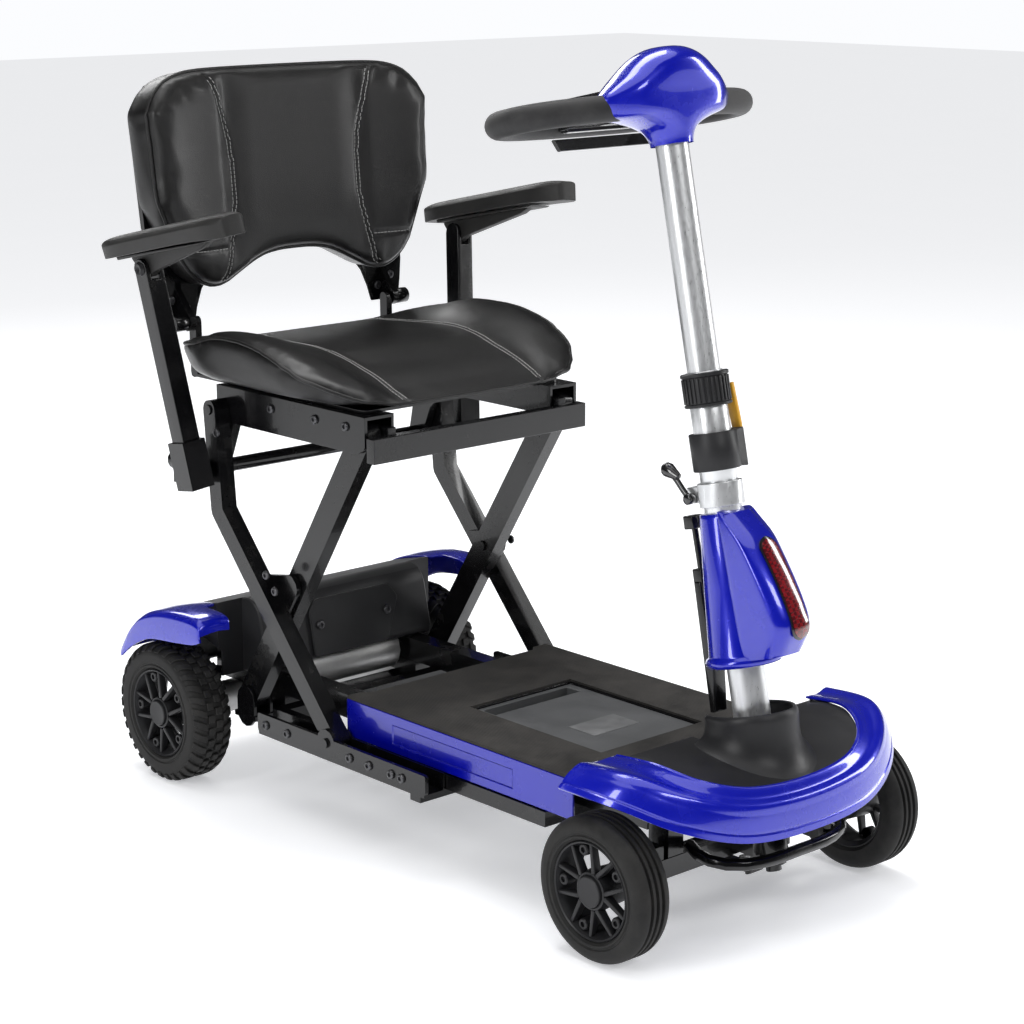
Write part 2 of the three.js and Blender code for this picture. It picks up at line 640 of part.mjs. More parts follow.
// Outer arm: foot at the carriage, bend under the seat, ear plate out to the crossing pivot.
function outerArm() {
  const bend = [REAR_SEAT_PIVOT[0] - 11, 362];
  const path = [[FRONT_FOOT[0] - 1, FOOT_Z], bend, REAR_SEAT_PIVOT];
  const bar = link(path, OUTER_DEPTH, OUTER_ARM_IN, OUTER_ARM_OUT);
  const [y, z] = CROSSING;
  const plate = [[y - 16, z - 2], [y - 6, z + 17], [y + 12, z + 14], [y + 58, z + 6], [y + 14, z - 48]];
  const ear = sideways(plate, INNER_ARM_OUT + 1.4, OUTER_ARM_IN + 1, 6);
  const pin = crossPin(CROSSING, INNER_ARM_IN - 3, OUTER_ARM_IN, PIN_R);
  const boss = crossPin(CROSSING, INNER_ARM_OUT + 1.4, OUTER_ARM_IN + 1, 15);
  return cut(join(bar, ear, pin, boss), crossPin(FRONT_FOOT, OUTER_ARM_IN - 0.5, 220, PIN_R + RUN),
    crossPin(REAR_SEAT_PIVOT, OUTER_ARM_IN - 0.5, 220, PIN_R + RUN));
}

function innerArm() {
  const top = [FRONT_SEAT_PIVOT[0] - 4, SEAT_PIVOT_Z];
  const foot = [REAR_FOOT[0] + 4, FOOT_Z];
  const bar = link([foot, top], INNER_DEPTH, INNER_ARM_IN, INNER_ARM_OUT);
  return cut(bar, bore(REAR_FOOT), bore(CROSSING), bore(FRONT_SEAT_PIVOT));
}

// Front cross tube with two bars that slide out of the seat rails as the seat comes down.
function frontSlider() {
  const [y, z] = FRONT_SEAT_PIVOT;
  const tube = block(-168, 168, y - 37, y - 23, z - 26, z + 4);
  const bar = withMirror(block(129, 141, y - 30, 300, z - 7, z + 13));
  const pins = withMirror(crossPin(FRONT_SEAT_PIVOT, 140, INNER_ARM_OUT, PIN_R));
  return join(tube, bar, pins);
}

add('carriage', carriage(), BLACK_STEEL);
add('actuator_rod', actuatorRod(), SILVER);
addPair('outer_arm', outerArm(), BLACK_STEEL);
addPair('inner_arm', innerArm(), BLACK_STEEL);
add('front_slider', frontSlider(), BLACK_STEEL);

// ---- seat ---------------------------------------------------------------------------------
const RAIL_WEB_IN = INNER_ARM_OUT + 1.6;
const RAIL_WEB_OUT = OUTER_ARM_IN - 1;
const SEAT_RAIL_FRONT = FRONT_SEAT_PIVOT[0] - 20;
const SEAT_RAIL_REAR = REAR_SEAT_PIVOT[0] + 15;
const FLANGE_Z = 511;

function seatRail() {
  const z0 = SEAT_PIVOT_Z - 18;
  const web = sideways([[SEAT_RAIL_FRONT, z0 + 8], [SEAT_RAIL_FRONT + 14, z0], [SEAT_RAIL_REAR, z0],
    [SEAT_RAIL_REAR, 515], [SEAT_RAIL_FRONT, 515]], RAIL_WEB_IN, RAIL_WEB_OUT, 3);
  const flange = block(124, RAIL_WEB_OUT, SEAT_RAIL_FRONT, SEAT_RAIL_REAR, FLANGE_Z, 515);
  const lip = block(124, 127.6, SEAT_RAIL_FRONT, SEAT_RAIL_REAR, SEAT_PIVOT_Z - 9, 515);
  const pin = crossPin(REAR_SEAT_PIVOT, RAIL_WEB_IN, OUTER_ARM_OUT + 2, PIN_R);
  return join(web, flange, lip, pin);
}

// Pressed plate under the cushion; its rear tongues turn up as the lugs of the backrest hinge.
function seatPan() {
  const half = 156;
  const plan = [[-half, 72], [half, 72], [half, 346], [-half, 346]];
  const plate = upwards(plan, 515 + GAP, 519, 12);
  const [y, z] = BACK_PIVOT;
  const tongue = block(LUG_OUT - 9, LUG_OUT, 330, y + 5, 515 + GAP, 519);
  const lug = link([[y - 1, 521], BACK_PIVOT], 14, LUG_OUT - 9, LUG_OUT);
  const pin = crossPin(BACK_PIVOT, LUG_OUT - 9, LUG_OUT + 9, 4);
  return join(plate, withMirror(tongue), withMirror(lug), withMirror(pin));
}

function seatCushion() {
  const point = (top) => (u, v) => {
    const side = 2 * u - 1;
    const taper = Math.sqrt(1 - 0.34 * side ** 6);
    const middle = (SEAT_FRONT + SEAT_REAR) / 2;
    const y = middle + (v - 0.5) * (SEAT_REAR - SEAT_FRONT) * taper;
    const rim = Math.min(1, 8 * Math.min(u, 1 - u, v, 1 - v));
    const swell = Math.sqrt(1 - (1 - rim) ** 2);
    const lift = 22 * Math.abs(side) ** 3;
    const edge = SEAT_BOTTOM + 14 + lift;
    const z = top ? edge + swell * (SEAT_TOP - SEAT_BOTTOM - 20 - 6 * (1 - Math.abs(side)))
      : edge - swell * (14 + 2 * Math.abs(side));
    return [side * SEAT_HALF, y, Math.max(z, SEAT_BOTTOM)];
  };
  const top = grid(13, 9, point(true));
  const bottom = grid(13, 9, point(false));
  top.forEach((row, i) => row.forEach((p, j) => {
    if (p[2] - bottom[i][j][2] < 3) bottom[i][j][2] = p[2] - 3;
  }));
  return between(top, bottom);
}

const SOCKET_LOW = -14; // along the post, from the cross tube's height
const SOCKET_TOP = 46;
const TONGUE_HALF = 6;
const HINGE_PIN_R = 4;
const PAD_HALF = 25;
const PAD_THICK = 27;
const PAD_OFFSET = 6;
const PAD_TILT = THREE.MathUtils.degToRad(12);
const SOCKET_WALL = 4;
const POST_HALF = ARM_TUBE / 2;
const POST_TOP = 262;

function postFrame(geometry) {
  return geometry.rotateX(-ARM_LEAN).rotateY(ARM_SPLAY).translate(ARM_X, ARM_Y, ARM_BEAM[1]);
}

// Cross tube behind and below the seat, with gussets up to the rails and a socket for each post.
function armrestBeam() {
  const tube = crossPin(ARM_BEAM, -ARM_X, ARM_X, ARM_BEAM_R);
  const half = POST_HALF + SOCKET_WALL;
  const bite = POST_HALF + RUN;
  const socket = postFrame(block(-half, half, -half, half, SOCKET_LOW, SOCKET_TOP));
  const inside = postFrame(block(-bite, bite, -bite, bite, SOCKET_LOW + SOCKET_WALL, SOCKET_TOP + 50));
  const [y, z] = ARM_BEAM;
  const gusset = sideways([[y - 12, z - 12], [y + 12, z - 12], [y - 4, SEAT_PIVOT_Z - 18.4],
    [y - 44, SEAT_PIVOT_Z - 18.4]], INNER_ARM_OUT - 6, OUTER_ARM_IN - 1);
  const boss = block(OUTER_ARM_OUT + 6, ARM_X + 8, ARM_Y + 12, y + 4, z - 10, z + 12);
  const knob = postFrame(round([0, half - 1, 22], [0, half + 16, 22], 12));
  const body = join(tube, withMirror(socket), withMirror(gusset), withMirror(boss), withMirror(knob));
  return cut(body, withMirror(inside));
}

function armrestPost() {
  const tube = block(-POST_HALF, POST_HALF, -POST_HALF, POST_HALF, SOCKET_LOW + SOCKET_WALL + GAP, POST_TOP);
  const fork = crossPin([0, POST_TOP], -POST_HALF, POST_HALF, POST_HALF);
  const notch = block(-TONGUE_HALF - RUN, TONGUE_HALF + RUN, -20, 20, POST_TOP - 16, POST_TOP + 20);
  const pin = crossPin([0, POST_TOP], -POST_HALF, POST_HALF, HINGE_PIN_R);
  return postFrame(join(cut(join(tube, fork), notch), pin));
}

// Pad on a triangular bracket whose tongue sits in the fork of the post, in the post's own frame.
function armrestPad() {
  const z = POST_TOP;
  const plan = [[-PAD_HALF, -208], [PAD_HALF, -208], [PAD_HALF, 62], [-PAD_HALF, 62]];
  const pad = slab(outline(plan, 22), PAD_THICK, 6);
  pad.rotateX(ARM_LEAN - PAD_TILT).translate(PAD_OFFSET, 0, z + 17);
  const web = [[-146, z + 26], [-16, z - 4], [-7, z - 10], [9, z - 6], [24, z + 15], [20, z + 19]];
  const bracket = sideways(web, -TONGUE_HALF, TONGUE_HALF, 3);
  const top = [[-146, z + 26], [-30, z + 15], [30, z + 14.5], [26, z + 19], [-140, z + 32]];
  const shoulder = sideways(top, -TONGUE_HALF, PAD_OFFSET + 14);
  return postFrame(cut(join(pad, bracket, shoulder), crossPin([0, z], -20, 12, HINGE_PIN_R + RUN)));
}

add('seat_pan', seatPan(), BLACK_STEEL);
addPair('seat_rail', seatRail(), BLACK_STEEL);
add('seat_cushion', seatCushion(), LEATHER);
add('armrest_beam', armrestBeam(), BLACK_STEEL);
addPair('armrest_post', armrestPost(), BLACK_STEEL);
addPair('armrest_pad', armrestPad(), BLACK_PLASTIC);

// ---- backrest -----------------------------------------------------------------------------
const BACK_ARCH = [[-224, 845], [-196, 884], [-110, 897], [0, 900], [110, 897], [196, 884], [224, 845],
  [218, 700], [196, 640], [176, 628], [150, 632], [110, 655], [50, 664], [0, 665], [-50, 664], [-110, 655],
  [-150, 632], [-176, 628], [-196, 640], [-218, 700]];
const BACK_LEAN = THREE.MathUtils.degToRad(5);

function leaned(geometry) {
  const [y, z] = BACK_PIVOT;
  return geometry.translate(0, -y, -z).rotateX(-BACK_LEAN).translate(0, y, z);
}

// Steel side arms on the hinge, joined to the moulded back panel.
function backrestFrame() {
  const panel = forwards(BACK_ARCH.map(([x, h]) => [x * 0.95, 770 + (h - 770) * 0.94]), 425, 433);
  const arm = link([BACK_PIVOT, [438, 622], [438, 700]], 22, LUG_OUT + 1, LUG_OUT + 9);
  return cut(leaned(join(withMirror(arm), panel)), withMirror(crossPin(BACK_PIVOT, 140, 190, 4 + RUN)));
}

function backrestCushion() {
  return leaned(forwards(BACK_ARCH, 384, 424.4, 0, 6));
}

add('backrest_frame', backrestFrame(), BLACK_STEEL);
add('backrest_cushion', backrestCushion(), LEATHER);

// ---- steering -----------------------------------------------------------------------------
const [PIN_V] = FOLD_PIN;

// Shaft with the steering arm below and the yoke of the tiller hinge above, along the tiller axis.
function steeringColumn() {
  const shaft = round([0, 0, -146], [0, 0, -20], 9);
  const collar = round([0, 0, -53], [0, 0, -40], 15);
  const base = block(-23, 23, -17, 28, -48, -13);
  const jaw = withMirror(link([[PIN_V, -30], FOLD_PIN], 28, 17, 23));
  const pin = crossPin(FOLD_PIN, -22, 22, 5);
  const arm = join(round([0, 0, -139], [0, 0, -132], 15), block(-8, 8, 0, STEER_ARM, -139, -132),
    round([0, STEER_ARM, -139], [0, STEER_ARM, -132], 8));
  const stud = round([0, STEER_ARM, -153], [0, STEER_ARM, -133], 3.5, 8);
  return join(shaft, collar, base, jaw, pin, arm, stud);
}

const TIE_Y = FRONT_AXLE_Y + STEER_ARM;
const TIE_Z = 53;

// T-shaped plate that moves sideways; each stud works in a slot.
function tieRod() {
  const stud = besideTiller(0, STEER_ARM, -146);
  const bar = upwards([[-162, TIE_Y - 13], [162, TIE_Y - 13], [162, TIE_Y + 9], [-162, TIE_Y + 9]],
    TIE_Z, TIE_Z + 4, 8);
  const tongue = block(-11, 11, stud[1] - 14, TIE_Y, TIE_Z, TIE_Z + 4);
  const slot = (x, y) => block(x - 5.2, x + 5.2, y - 9, y + 5, TIE_Z - 5, TIE_Z + 9);
  return cut(join(bar, tongue), slot(0, stud[1]), slot(KINGPIN_X, TIE_Y), slot(-KINGPIN_X, TIE_Y));
}

function knuckle() {
  const [x, y] = [KINGPIN_X, FRONT_AXLE_Y];
  const post = round([x, y, 59], [x, y, 103], 12);
  const kingpin = round([x, y, 50], [x, y, 112], PIN_R);
  const stub = crossPin([y, FRONT_RADIUS], x, FRONT_OUTER - 9, AXLE_R);
  const arm = join(block(x - 7, x + 7, y, TIE_Y, 62, 69), round([x, TIE_Y, 62], [x, TIE_Y, 69], 7));
  const stud = round([x, TIE_Y, 49], [x, TIE_Y, 66], 3.5, 8);
  return join(post, kingpin, stub, arm, stud);
}

add('steering_column', steeringColumn(), BLACK_STEEL, tiller);
add('tie_rod', tieRod(), BLACK_STEEL);
addPair('knuckle', knuckle(), BLACK_STEEL);

// ---- tiller -------------------------------------------------------------------------------
function lowerTube() {
  const tube = round([0, 0, 20], [0, 0, LOWER_TOP], LOWER_R, SIDES);
  const boreTube = round([0, 0, 120], [0, 0, LOWER_TOP + 5], UPPER_R + RUN, SIDES);
  const tongue = link([FOLD_PIN, [PIN_V - 8, 26]], 24, -16, 8);
  return cut(join(tube, tongue), boreTube, crossPin(FOLD_PIN, -30, 30, 5 + RUN));
}

function upperTube() {
  return round([0, 0, UPPER_BOTTOM], [0, 0, UPPER_TOP], UPPER_R, SIDES);
}

function sleeveBore(from, to) {
  return round([0, 0, from], [0, 0, to], LOWER_R + GAP, SIDES);
}

// Moulded cover of the lower tube with the lamp pod on its front.
const POD_SIDE = [[34, 88], [36, 246], [-30, 252], [-52, 240], [-64, 217], [-88, 116], [-90, 98], [-76, 84]];

function tillerCover() {
  const body = sideways(POD_SIDE, -37, 37, 6, 4);
  const recess = sideways([[-62, 222], [-61, 212], [-83, 112], [-100, 104], [-100, 222]], -15, 15);
  return cut(body, sleeveBore(70, 270), recess);
}

function tillerLens() {
  return sideways([[-66, 216], [-62, 214], [-84, 116], [-89.5, 112], [-89, 118]], -14.5, 14.5, 1);
}

function clampSleeve() {
  const ring = round([0, 0, 297], [0, 0, 338], 26, SIDES);
  const ear = block(18, 30, -14, 6, 300, 335);
  return cut(join(ring, ear), sleeveBore(290, 350), block(30.5, 40, -20, 20, 290, 350));
}

function clampLever() {
  return sideways([[-12, 304], [-4, 300], [2, 306], [-2, 340], [0, 374], [-12, 374], [-13, 340]], 31, 36, 3);
}

function heightCollar() {
  const ring = round([0, 0, 367], [0, 0, 401], 26, SIDES);
  const ribs = [];
  for (let i = 0; i < 12; i += 1) {
    const rib = block(24.5, 27.6, -2.4, 2.4, 371, 397);
    ribs.push(rib.rotateZ((i * Math.PI) / 6));
  }
  return cut(join(ring, ...ribs), sleeveBore(360, 410));
}

const BAR_HALF = 165;
const BAR_DEPTH = 66;
const BAR_V = 68;
const BAR_S = 692;
const BAR_R = 14.5;

// A rounded loop seen from above; only its front middle is hidden in the head.
function barPoints(fromDegrees, toDegrees, count) {
  return Array.from({ length: count }, (_, i) => {
    const angle = THREE.MathUtils.degToRad(fromDegrees + ((toDegrees - fromDegrees) * i) / (count - 1));
    const bulge = (value) => Math.sign(value) * Math.abs(value) ** 0.8;
    return [BAR_HALF * bulge(Math.cos(angle)), BAR_V + BAR_DEPTH * bulge(Math.sin(angle)), BAR_S];
  });
}

function handlebar() {
  return bentTube(barPoints(-72, 252, 25), BAR_R, 8, 26);
}

// Head casting: neck on the tube, shoulders that take the ends of the handlebar.
function tillerHead() {
  const neck = round([0, 0, 652], [0, 0, 700], 25, SIDES);
  const body = sideways([[-34, 668], [-40, 700], [-34, 736], [-6, 752], [26, 738], [38, 706], [30, 668]],
    -48, 48, 14, 5);
  const shoulder = [[-20, 676], [-22, 700], [-8, 712], [16, 712], [26, 700], [24, 676]];
  const shoulders = sideways(shoulder, -86, 86, 8, 3);
  const bar = bentTube(barPoints(-72, 252, 25), BAR_R + GAP, 8, 26);
  const socket = round([0, 0, 640], [0, 0, UPPER_TOP + GAP], UPPER_R + GAP, SIDES);
  return cut(join(neck, body, shoulders), bar, socket);
}

// Console between the head and the rear of the loop.
function consoleBox() {
  const plan = [[-46, 40], [46, 40], [58, 116], [-58, 116]];
  const box = upwards(plan, 680, 716, 10, 3);
  return cut(box, bentTube(barPoints(-72, 252, 25), BAR_R + GAP, 8, 26), block(-60, 60, 60, 100, 670, 684));
}

function throttleLever() {
  return sideways([[98, 660], [104, 660], [112, 674], [106, 674]], -70, 70, 2);
}

function lockBracket() {
  const ring = round([0, 0, 258], [0, 0, 284], 25, SIDES);
  const lug = block(-7, 7, 20, 44, 262, 280);
  return cut(join(ring, lug), sleeveBore(250, 290));
}

function lockLever() {
  const rod = round([-13, 36, 268], [-13, 58, 296], 3.4, 8);
  const knob = merged(new THREE.SphereGeometry(9, 10, 6)).translate(-13, 61, 300);
  const hub = round([-18, 36, 268], [-7.6, 36, 268], 6, 8);
  return join(rod, knob, hub);
}

function tillerStrut() {
  return sideways([[38, 88], [46, 30], [54, 30], [52, 250], [44, 250]], -12, 12, 2);
}

add('tiller_lower_tube', lowerTube(), SILVER, tiller);
add('tiller_upper_tube', upperTube(), SILVER, tiller);
add('tiller_cover', tillerCover(), BLUE, tiller);
add('tiller_lens', tillerLens(), LENS, tiller);
add('clamp_sleeve', clampSleeve(), BLACK_PLASTIC, tiller);
add('clamp_lever', clampLever(), YELLOW, tiller);
add('height_collar', heightCollar(), BLACK_PLASTIC, tiller);
add('tiller_head', tillerHead(), BLUE, tiller);
add('handlebar', handlebar(), GRIP, tiller);
add('console', consoleBox(), GLOSS_BLACK, tiller);
add('throttle_lever', throttleLever(), GLOSS_BLACK, tiller);
add('lock_bracket', lockBracket(), SILVER, tiller);
add('lock_lever', lockLever(), GLOSS_BLACK, tiller);
add('tiller_strut', tillerStrut(), BLACK_STEEL, tiller);

export default scooter;
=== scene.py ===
import bpy
from math import copysign, cos, exp, pi, radians, sin, sqrt
from mathutils import Matrix, Vector
from mathutils.bvhtree import BVHTree
from mathutils.kdtree import KDTree


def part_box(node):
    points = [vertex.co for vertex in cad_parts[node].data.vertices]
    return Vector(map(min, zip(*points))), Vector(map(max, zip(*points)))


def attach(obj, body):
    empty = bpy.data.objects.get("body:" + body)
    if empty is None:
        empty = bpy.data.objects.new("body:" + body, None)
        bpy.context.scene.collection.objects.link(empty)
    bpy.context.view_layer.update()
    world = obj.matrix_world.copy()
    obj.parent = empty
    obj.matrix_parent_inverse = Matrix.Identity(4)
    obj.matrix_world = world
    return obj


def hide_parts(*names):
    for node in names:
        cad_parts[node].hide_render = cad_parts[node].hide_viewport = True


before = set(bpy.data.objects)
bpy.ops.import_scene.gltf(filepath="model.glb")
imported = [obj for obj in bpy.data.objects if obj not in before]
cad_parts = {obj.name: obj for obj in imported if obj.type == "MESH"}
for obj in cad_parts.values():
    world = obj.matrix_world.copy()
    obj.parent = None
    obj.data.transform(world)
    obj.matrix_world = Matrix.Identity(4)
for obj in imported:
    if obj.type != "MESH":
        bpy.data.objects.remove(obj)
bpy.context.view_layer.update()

bpy.ops.object.select_all(action="DESELECT")

# ---- Camera, light and floor -------------------------------------------------------------
# A camera with a long lens stands in front of the rider's right corner, above the seat.
# Large soft boxes light the scooter from the sides and from above over a pale floor.
LENS = 87.27
SENSOR = 36.0
CAMERA_PLACE = (-1.9177, -2.1347, 1.0750)
CAMERA_AZIMUTH = radians(-42.07)
CAMERA_ELEVATION = radians(13.48)
CAMERA_ROLL = radians(-0.07)

away = Vector((sin(CAMERA_AZIMUTH) * cos(CAMERA_ELEVATION), -cos(CAMERA_AZIMUTH) * cos(CAMERA_ELEVATION),
               sin(CAMERA_ELEVATION)))
bpy.ops.object.camera_add(location=CAMERA_PLACE)
camera = bpy.context.object
aim = away.to_track_quat("Z", "Y").to_matrix() @ Matrix.Rotation(CAMERA_ROLL, 3, "Z")
camera.rotation_euler = aim.to_euler()
camera.data.lens = LENS
camera.data.sensor_width = SENSOR
camera.data.clip_end = 100
bpy.context.scene.camera = camera
bpy.context.scene.view_settings.view_transform = "Standard"

LIT_POINT = Vector((0, 0, 0.45))
# name: (place, size, power)
SOFT_BOXES = {
    "left_box": ((-3.0, -0.2, 1.7), (0.7, 2.0), 42),
    "front_box": ((-0.5, -3.3, 2.6), (1.6, 0.6), 30),
    "right_box": ((2.8, -1.6, 1.5), (0.6, 2.0), 40),
    "top_box": ((0.3, 0.6, 3.0), (1.6, 1.0), 34),
    "rear_box": ((0.8, 3.0, 2.2), (1.8, 0.8), 30),
}
for name, (place, size, power) in SOFT_BOXES.items():
    bpy.ops.object.light_add(type="AREA", location=place)
    light = bpy.context.object
    light.name = name
    light.data.shape = "RECTANGLE"
    light.data.size, light.data.size_y = size
    light.data.energy = power
    light.rotation_euler = (Vector(place) - LIT_POINT).to_track_quat("Z", "Y").to_euler()

SKY_POWER = 1.5
SKY_SPREAD = radians(70)
bpy.ops.object.light_add(type="SUN", location=(0, 0, 4))
bpy.context.object.data.energy = SKY_POWER
bpy.context.object.data.angle = SKY_SPREAD

world = bpy.data.worlds.new("studio")
bpy.context.scene.world = world
world.use_nodes = True
WORLD_LIGHT = 0.06
WORLD_SEEN = 1.0
background = world.node_tree.nodes["Background"]
background.inputs["Color"].default_value = (0.97, 0.98, 1.0, 1)
ray = world.node_tree.nodes.new("ShaderNodeLightPath")
level = world.node_tree.nodes.new("ShaderNodeMapRange")
level.inputs["To Min"].default_value = WORLD_LIGHT
level.inputs["To Max"].default_value = WORLD_SEEN
world.node_tree.links.new(ray.outputs["Is Camera Ray"], level.inputs["Value"])
world.node_tree.links.new(level.outputs["Result"], background.inputs["Strength"])


class Wire:
    """A shader socket that arithmetic can be written on."""

    def __init__(self, finish, socket):
        self.finish = finish
        self.socket = socket

    def maths(self, operation, first, second):
        return self.finish.node("ShaderNodeMath", {"operation": operation}, {0: first, 1: second})

    def __add__(self, other):
        return self.maths("ADD", self, other)

    def __mul__(self, other):
        return self.maths("MULTIPLY", self, other)

    def __gt__(self, other):
        return self.maths("GREATER_THAN", self, other)


class Finish:
    """A material. Constant sockets are set at once, and node() adds everything else."""

    def __init__(self, name, constants):
        self.material = bpy.data.materials.new(name)
        self.material.use_nodes = True
        self.tree = self.material.node_tree
        self.shader = self.tree.nodes["Principled BSDF"]
        for socket, value in constants.items():
            self.shader.inputs[socket].default_value = value

    def node(self, kind, settings=None, values=None, output=0):
        made = self.tree.nodes.new(kind)
        for key, value in (settings or {}).items():
            setattr(made, key, value)
        for socket, value in (values or {}).items():
            self.feed(made.inputs[socket], value)
        return Wire(self, made.outputs[output])

    def feed(self, socket, value):
        if isinstance(value, Wire):
            self.tree.links.new(value.socket, socket)
        else:
            socket.default_value = value

    def place(self, scale=(1, 1, 1), turn=(0, 0, 0)):
        where = self.node("ShaderNodeTexCoord", output="Object")
        return self.node("ShaderNodeMapping", values={"Vector": where, "Rotation": turn, "Scale": scale})

    def noise(self, scale, detail=3.0, roughness=0.55, where=None):
        return self.node("ShaderNodeTexNoise", values={
            "Vector": where or self.place(), "Scale": scale, "Detail": detail, "Roughness": roughness})

    def cells(self, scale, feature="F1"):
        return self.node("ShaderNodeTexVoronoi", {"feature": feature}, {
            "Vector": self.place(), "Scale": scale})

    def spread(self, value, low, high, out_low=0.0, out_high=1.0):
        return self.node("ShaderNodeMapRange", values={
            "Value": value, "From Min": low, "From Max": high, "To Min": out_low, "To Max": out_high})

    def blend(self, share, first, second):
        first, second = (end if isinstance(end, Wire) else (*end, 1) for end in (first, second))
        return self.node("ShaderNodeMix", {"data_type": "RGBA"}, {0: share, 6: first, 7: second}, output=2)

    def colour(self, share, first, second):
        """Blends two colours into the base colour."""
        self.feed(self.shader.inputs["Base Color"], self.blend(share, first, second))

    def rough(self, value):
        self.feed(self.shader.inputs["Roughness"], value)

    def varied(self, pattern, first, second, low, high):
        """Colour and roughness that follow one pattern."""
        self.colour(pattern, first, second)
        self.rough(self.spread(pattern, 0.3, 0.7, low, high))

    def relief(self, height, depth, strength=1.0):
        bump = self.node("ShaderNodeBump", values={
            "Strength": strength, "Distance": depth, "Height": height})
        self.feed(self.shader.inputs["Normal"], bump)


FLOOR_GLOW = 0.4
floor_finish = Finish("floor", {
    "Roughness": 0.7, "Emission Color": (0.96, 0.97, 1, 1), "Emission Strength": FLOOR_GLOW})
floor_finish.colour(floor_finish.noise(3.0), (0.86, 0.87, 0.88), (0.89, 0.89, 0.9))
bpy.ops.mesh.primitive_plane_add(size=30, location=(0, 0, 0))
floor = bpy.context.object
floor.name = "floor"
floor.data.materials.append(floor_finish.material)

# ---- Steel and aluminium of the chassis and the folding seat stand -------------------------
# Rectangular tubes, plates and ears, welded and then powder coated in gloss black. The coat has
# a faint orange peel, is a little duller in patches, and gathers some dust.
MM = 0.001
SOFT_EDGE = 1.1 * MM
EDGE_TURN = radians(38)

powder = Finish("gloss_powder_coat", {
    "Specular IOR Level": 0.3, "Coat Weight": 0.35, "Coat Roughness": 0.05})
patches = powder.noise(14.0, 4.0)
dust = powder.spread(powder.noise(60.0, 5.0) * patches, 0.28, 0.5)
powder.colour(dust, (0.003, 0.003, 0.0035), (0.013, 0.0125, 0.012))
powder.rough(powder.spread(patches, 0.3, 0.7, 0.16, 0.28) + dust * 0.1)
powder.relief(powder.noise(900.0, 2.0) + powder.noise(260.0, 1.0) * 0.6, 0.12 * MM, 0.35)


def soften(node, finish, width=SOFT_EDGE):
    """Gives a carried-over node its finish and the small radius that a real edge has."""
    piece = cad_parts[node]
    for slot in piece.material_slots:
        slot.material = finish.material
    for kind, settings in (
            ("WELD", {"merge_threshold": 0.02 * MM}),
            ("BEVEL", {"width": width, "segments": 2, "limit_method": "ANGLE", "angle_limit": EDGE_TURN}),
            ("WEIGHTED_NORMAL", {"keep_sharp": True})):
        modifier = piece.modifiers.new(kind.lower(), kind)
        for key, value in settings.items():
            setattr(modifier, key, value)
    piece.data.shade_smooth()


POWDER_NODES = [
    "chassis_frame", "front_axle_beam", "rear_bracket", "front_bumper", "carriage", "outer_arm_left",
    "outer_arm_right", "inner_arm_left", "inner_arm_right", "front_slider", "seat_pan", "seat_rail_left",
    "seat_rail_right", "armrest_beam", "armrest_post_left", "armrest_post_right", "backrest_frame",
    "steering_column", "tie_rod", "knuckle_left", "knuckle_right", "fold_actuator"]
for node in POWDER_NODES:
    soften(node, powder)


def deselect():
    bpy.ops.object.select_all(action="DESELECT")


def only(piece):
    """Selects one piece and makes it active."""
    deselect()
    piece.select_set(True)
    bpy.context.view_layer.objects.active = piece


def settle(piece):
    """Writes the piece's place into its mesh."""
    only(piece)
    bpy.ops.object.transform_apply(location=True, rotation=True, scale=True)
    return piece


def joined(pieces, name):
    deselect()
    for piece in pieces:
        piece.select_set(True)
    bpy.context.view_layer.objects.active = pieces[0]
    if len(pieces) > 1:
        bpy.ops.object.join()
    made = bpy.context.object
    made.name = made.data.name = name
    return settle(made)


def dressed(piece, name, body, finish, nodes=(), angle=40):
    """Names a finished piece, smooths it, gives it its material, ties it to its body, and hides the nodes
    it stands in for.
    """
    only(piece)
    bpy.ops.object.shade_smooth_by_angle(angle=radians(angle))
    piece.name = piece.data.name = name
    piece.data.materials.clear()
    piece.data.materials.append(finish.material)
    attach(piece, body)
    if nodes:
        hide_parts(*nodes)
    return piece


def modified(piece, kind, **settings):
    """Adds a modifier and applies it."""
    only(piece)
    modifier = piece.modifiers.new(kind.lower(), kind)
    for key, value in settings.items():
        setattr(modifier, key, value)
    bpy.ops.object.modifier_apply(modifier=modifier.name)
    return piece


def rounded_off(piece, width, segments, angle):
    """Rounds the edges that turn by more than the angle, in degrees."""
    return modified(piece, "BEVEL", width=width * MM, segments=segments, limit_method="ANGLE",
                    angle_limit=radians(angle))


def begin_edit():
    bpy.ops.object.mode_set(mode="EDIT")
    bpy.ops.mesh.select_all(action="SELECT")


def end_edit(recalculate=False):
    """Leaves edit mode, with the normals turned outwards first if asked."""
    if recalculate:
        bpy.ops.mesh.select_all(action="SELECT")
        bpy.ops.mesh.normals_make_consistent(inside=False)
    bpy.ops.object.mode_set(mode="OBJECT")


def faces_where(piece, test):
    """Leaves edit mode's face selection on the faces whose centre and normal pass the test."""
    bpy.ops.object.mode_set(mode="EDIT")
    bpy.ops.mesh.select_mode(type="FACE")
    bpy.ops.mesh.select_all(action="DESELECT")
    bpy.ops.object.mode_set(mode="OBJECT")
    for face in piece.data.polygons:
        face.select = bool(test(face.center, face.normal))
    bpy.ops.object.mode_set(mode="EDIT")


# Button-head bolts: a domed head with a hexagon socket, zinc plated or black.
BOLT_RADIUS = 5.6
BOLT_HEIGHT = 3.2


